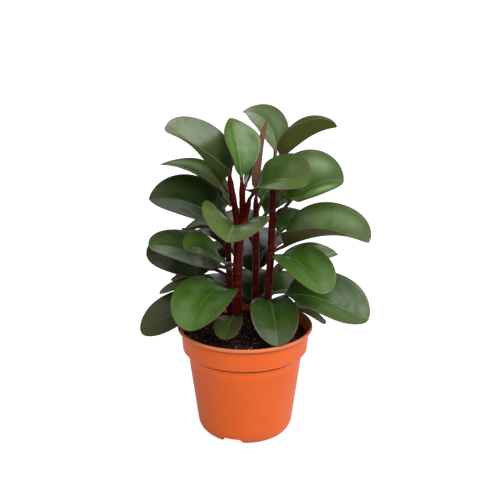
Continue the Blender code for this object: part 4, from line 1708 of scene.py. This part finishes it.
@dataclass
class Studio:
    """A white floor, soft light and the camera at the photograph's viewing angle."""

    camera_place: Point = (0.0044, -0.900, 0.470)
    camera_pitch: float = 18.4
    focal_pixels: float = 1089.0
    image_width: float = 500.0
    sensor_width: float = 36.0
    floor_size: float = 24.0
    floor_bounce: float = 0.65     # share of the light that the floor gives back to the plant
    floor_seen: float = 0.25       # how strongly light and shadow show on the floor
    floor_glow: float = 0.90       # even white that the camera sees besides
    sky_low: float = 0.12
    sky_high: float = 1.15
    sky_reach: Band = (-0.3, 0.9)  # cosines of the angle from the sun between which the sky brightens
    sun_place: Point = (1.0, -1.0, 2.0)
    sun_strength: float = 2.0
    sun_angle: float = 36.0
    sun_turn: float = 30.0         # degrees to the right of the camera
    sun_height: float = 45.0       # degrees above the floor
    panels: tuple[tuple[str, Point, float, float], ...] = (
        ("side_panel", (0.85, 0.10, 1.15), 0.8, 9.0), ("back_panel", (0.05, 1.10, 0.95), 1.0, 5.0))
    panel_aim: Point = (0.0, 0.0, 0.18)

    def _sunward(self) -> Vector:
        """Return the direction in which the sun stands."""
        return Vector(direction(math.radians(self.sun_turn - 90.0), math.radians(self.sun_height)))

    def _floor(self) -> None:
        """Make the pale floor."""
        floor = Workshop.start(bpy.ops.mesh.primitive_plane_add, "studio_floor", size=self.floor_size)
        surface = Surface("studio_pale", 1.0, 0.0)
        graph, sockets = surface.graph, surface.shader.inputs
        seen = graph.node("ShaderNodeLightPath").outputs["Is Camera Ray"]
        bounced, shown = ((share, share, share) for share in (self.floor_bounce, self.floor_seen))
        graph.feed(sockets["Base Color"], graph.mix(seen, bounced, shown))
        graph.feed(sockets["Emission Color"], WHITE)
        graph.feed(sockets["Emission Strength"], graph.times(seen, self.floor_glow))
        floor.data.materials.append(surface.material)

    @staticmethod
    def _light(kind: str, name: str, place: Point, aim: Vector, power: float) -> bpy.types.Light:
        """Add a light.

        Args:
            kind: its type.
            name: its name.
            place: where it stands, in metres.
            aim: the direction in which it shines.
            power: its strength.

        Returns:
            The light's own settings.
        """
        Workshop.clear_selection()
        bpy.ops.object.light_add(type=kind, location=place)
        light = bpy.context.active_object
        light.name = name
        light.rotation_euler = aim.to_track_quat("-Z", "Y").to_euler()
        light.data.energy = power
        return light.data

    def _lights(self) -> None:
        """Add a wide, soft sun over the photographer's shoulder, and the panels that point at the plant."""
        sun = self._light("SUN", "large_light", self.sun_place, -self._sunward(), self.sun_strength)
        sun.angle = math.radians(self.sun_angle)
        for name, place, size, power in self.panels:
            self._light("AREA", name, place, Vector(self.panel_aim) - Vector(place), power).size = size

    def _sky(self) -> None:
        """Make a sky that is white to the camera, and as a light brightest where the sun stands."""
        world = bpy.data.worlds.new("studio_sky")
        bpy.context.scene.world = world
        world.use_nodes = True
        graph = Graph(world.node_tree)
        sky = world.node_tree.nodes["Background"]
        graph.feed(sky.inputs["Color"], WHITE)
        seen = graph.node("ShaderNodeLightPath").outputs["Is Camera Ray"]
        outwards = graph.node("ShaderNodeTexCoord").outputs["Generated"]
        sources = {0: outwards, 1: tuple(self._sunward())}
        near_sun = graph.node("ShaderNodeVectorMath", sources, operation="DOT_PRODUCT").outputs["Value"]
        unseen = graph.band(near_sun, *self.sky_reach, self.sky_low, self.sky_high)
        graph.feed(sky.inputs["Strength"], graph.math("MAXIMUM", seen, unseen))

    def _camera(self) -> None:
        """Place the camera."""
        Workshop.clear_selection()
        bpy.ops.object.camera_add(location=self.camera_place,
                                  rotation=(math.radians(90 - self.camera_pitch), 0, 0))
        camera = bpy.context.active_object
        camera.data.sensor_width = self.sensor_width
        camera.data.lens = self.focal_pixels / self.image_width * self.sensor_width
        bpy.context.scene.camera = camera

    def build(self) -> None:
        """Set up the floor, the lights, the sky, the camera and a plain view of the colours."""
        self._floor()
        self._lights()
        self._sky()
        self._camera()
        bpy.context.scene.view_settings.view_transform = "Standard"


LEAF_FINISHES: tuple[LeafFinish, ...] = (
    # Painted shade, for leaves that stand in shade.
    LeafFinish(Tone.DEEP, (0.005, 0.014, 0.002), (0.011, 0.028, 0.003), (0.022, 0.033, 0.008),
               painted_sheen=(0.026, 0.044, 0.010), gloss=0.22),
    LeafFinish(Tone.GREEN, (0.014, 0.046, 0.003), (0.028, 0.076, 0.005), (0.040, 0.068, 0.012),
               painted_sheen=(0.050, 0.095, 0.022), gloss=0.35),
    LeafFinish(Tone.BRIGHT, (0.022, 0.076, 0.003), (0.046, 0.120, 0.007), (0.062, 0.105, 0.020),
               painted_sheen=(0.105, 0.175, 0.060), painted_sheen_share=0.55, gloss=0.3),
    LeafFinish(Tone.GREY, (0.024, 0.052, 0.007), (0.048, 0.088, 0.015), (0.066, 0.090, 0.028),
               painted_sheen=(0.110, 0.155, 0.065), painted_sheen_share=0.5,
               underside=(0.045, 0.085, 0.004), blush_share=0.4),
    # Painted sheen, for leaves seen at a grazing angle.
    LeafFinish(Tone.GRAZING_SHEEN, (0.036, 0.080, 0.010), (0.070, 0.124, 0.024), (0.055, 0.082, 0.020),
               painted_sheen=(0.165, 0.240, 0.100), painted_sheen_share=0.7),
    # Painted sheen, for leaves that face the light.
    LeafFinish(Tone.STRONG_SHEEN, (0.045, 0.095, 0.010), (0.110, 0.185, 0.050), (0.070, 0.110, 0.028),
               painted_sheen=(0.250, 0.370, 0.160), painted_sheen_share=0.85),
    LeafFinish(Tone.OLIVE, (0.022, 0.056, 0.004), (0.042, 0.086, 0.007), (0.062, 0.088, 0.018),
               painted_sheen=(0.085, 0.130, 0.045), gloss=0.3),
    LeafFinish(Tone.FOREST, (0.010, 0.030, 0.002), (0.022, 0.056, 0.004), (0.038, 0.056, 0.012),
               painted_sheen=(0.036, 0.070, 0.016), gloss=0.3),
    LeafFinish(Tone.MOSS, (0.018, 0.028, 0.005), (0.030, 0.043, 0.008), (0.046, 0.055, 0.018),
               painted_sheen=(0.046, 0.058, 0.020), gloss=0.3),
    LeafFinish(Tone.SHOOT, (0.030, 0.030, 0.006), (0.060, 0.060, 0.010), (0.070, 0.030, 0.020)),
    LeafFinish(Tone.BRONZE, (0.010, 0.030, 0.003), (0.020, 0.050, 0.004), (0.040, 0.060, 0.012),
               underside=(0.16, 0.075, 0.042), blush=(0.12, 0.040, 0.028)),
)

EARTH_FINISHES: tuple[EarthFinish, ...] = (
    EarthFinish("soil", (0.009, 0.004, 0.003), (0.050, 0.026, 0.021)),
    EarthFinish("humus", (0.022, 0.009, 0.008), (0.110, 0.055, 0.050)),
    EarthFinish("pale_flake", (0.30, 0.16, 0.13), (0.60, 0.44, 0.40), relief=0.1),
    EarthFinish("bark", (0.05, 0.022, 0.014), (0.20, 0.10, 0.07), relief=0.2),
)

LITTER: tuple[Litter, ...] = (
    Litter("soil_crumbs", "soil", 700, 0.5, 2.3, 0.75, 2, 0.55),
    Litter("humus_crumbs", "humus", 350, 0.5, 1.9, 0.75, 2, 0.6),
    Litter("pale_flakes", "pale_flake", 280, 0.3, 1.1, 0.4, 1, 0.4, smooth_angle=40.0),
    Litter("bark_chips", "bark", 93, 0.8, 2.4, 0.3, 1, 0.5, smooth_angle=40.0),
    Litter("soil_fibres", "pale_flake", 46, 2.0, 4.6, 0.06),
)


def main() -> None:
    """Build the plant's pieces in order, and set up the studio."""
    logging.basicConfig(level=logging.INFO, format="%(name)s: %(message)s")
    effects = Effects()
    pot = NurseryPot()
    pot.build(PotFinish().build(effects))
    PottingSoil(LITTER).build(pot, {finish.name: finish.build(effects) for finish in EARTH_FINISHES})
    stems = StemSet(STEMS, LEAVES)
    stems.build(StemFinish().build(effects))
    Foliage(LEAVES, stems).build({finish.tone: finish.build(effects) for finish in LEAF_FINISHES})
    Studio().build()


if __name__ == "__main__":
    main()
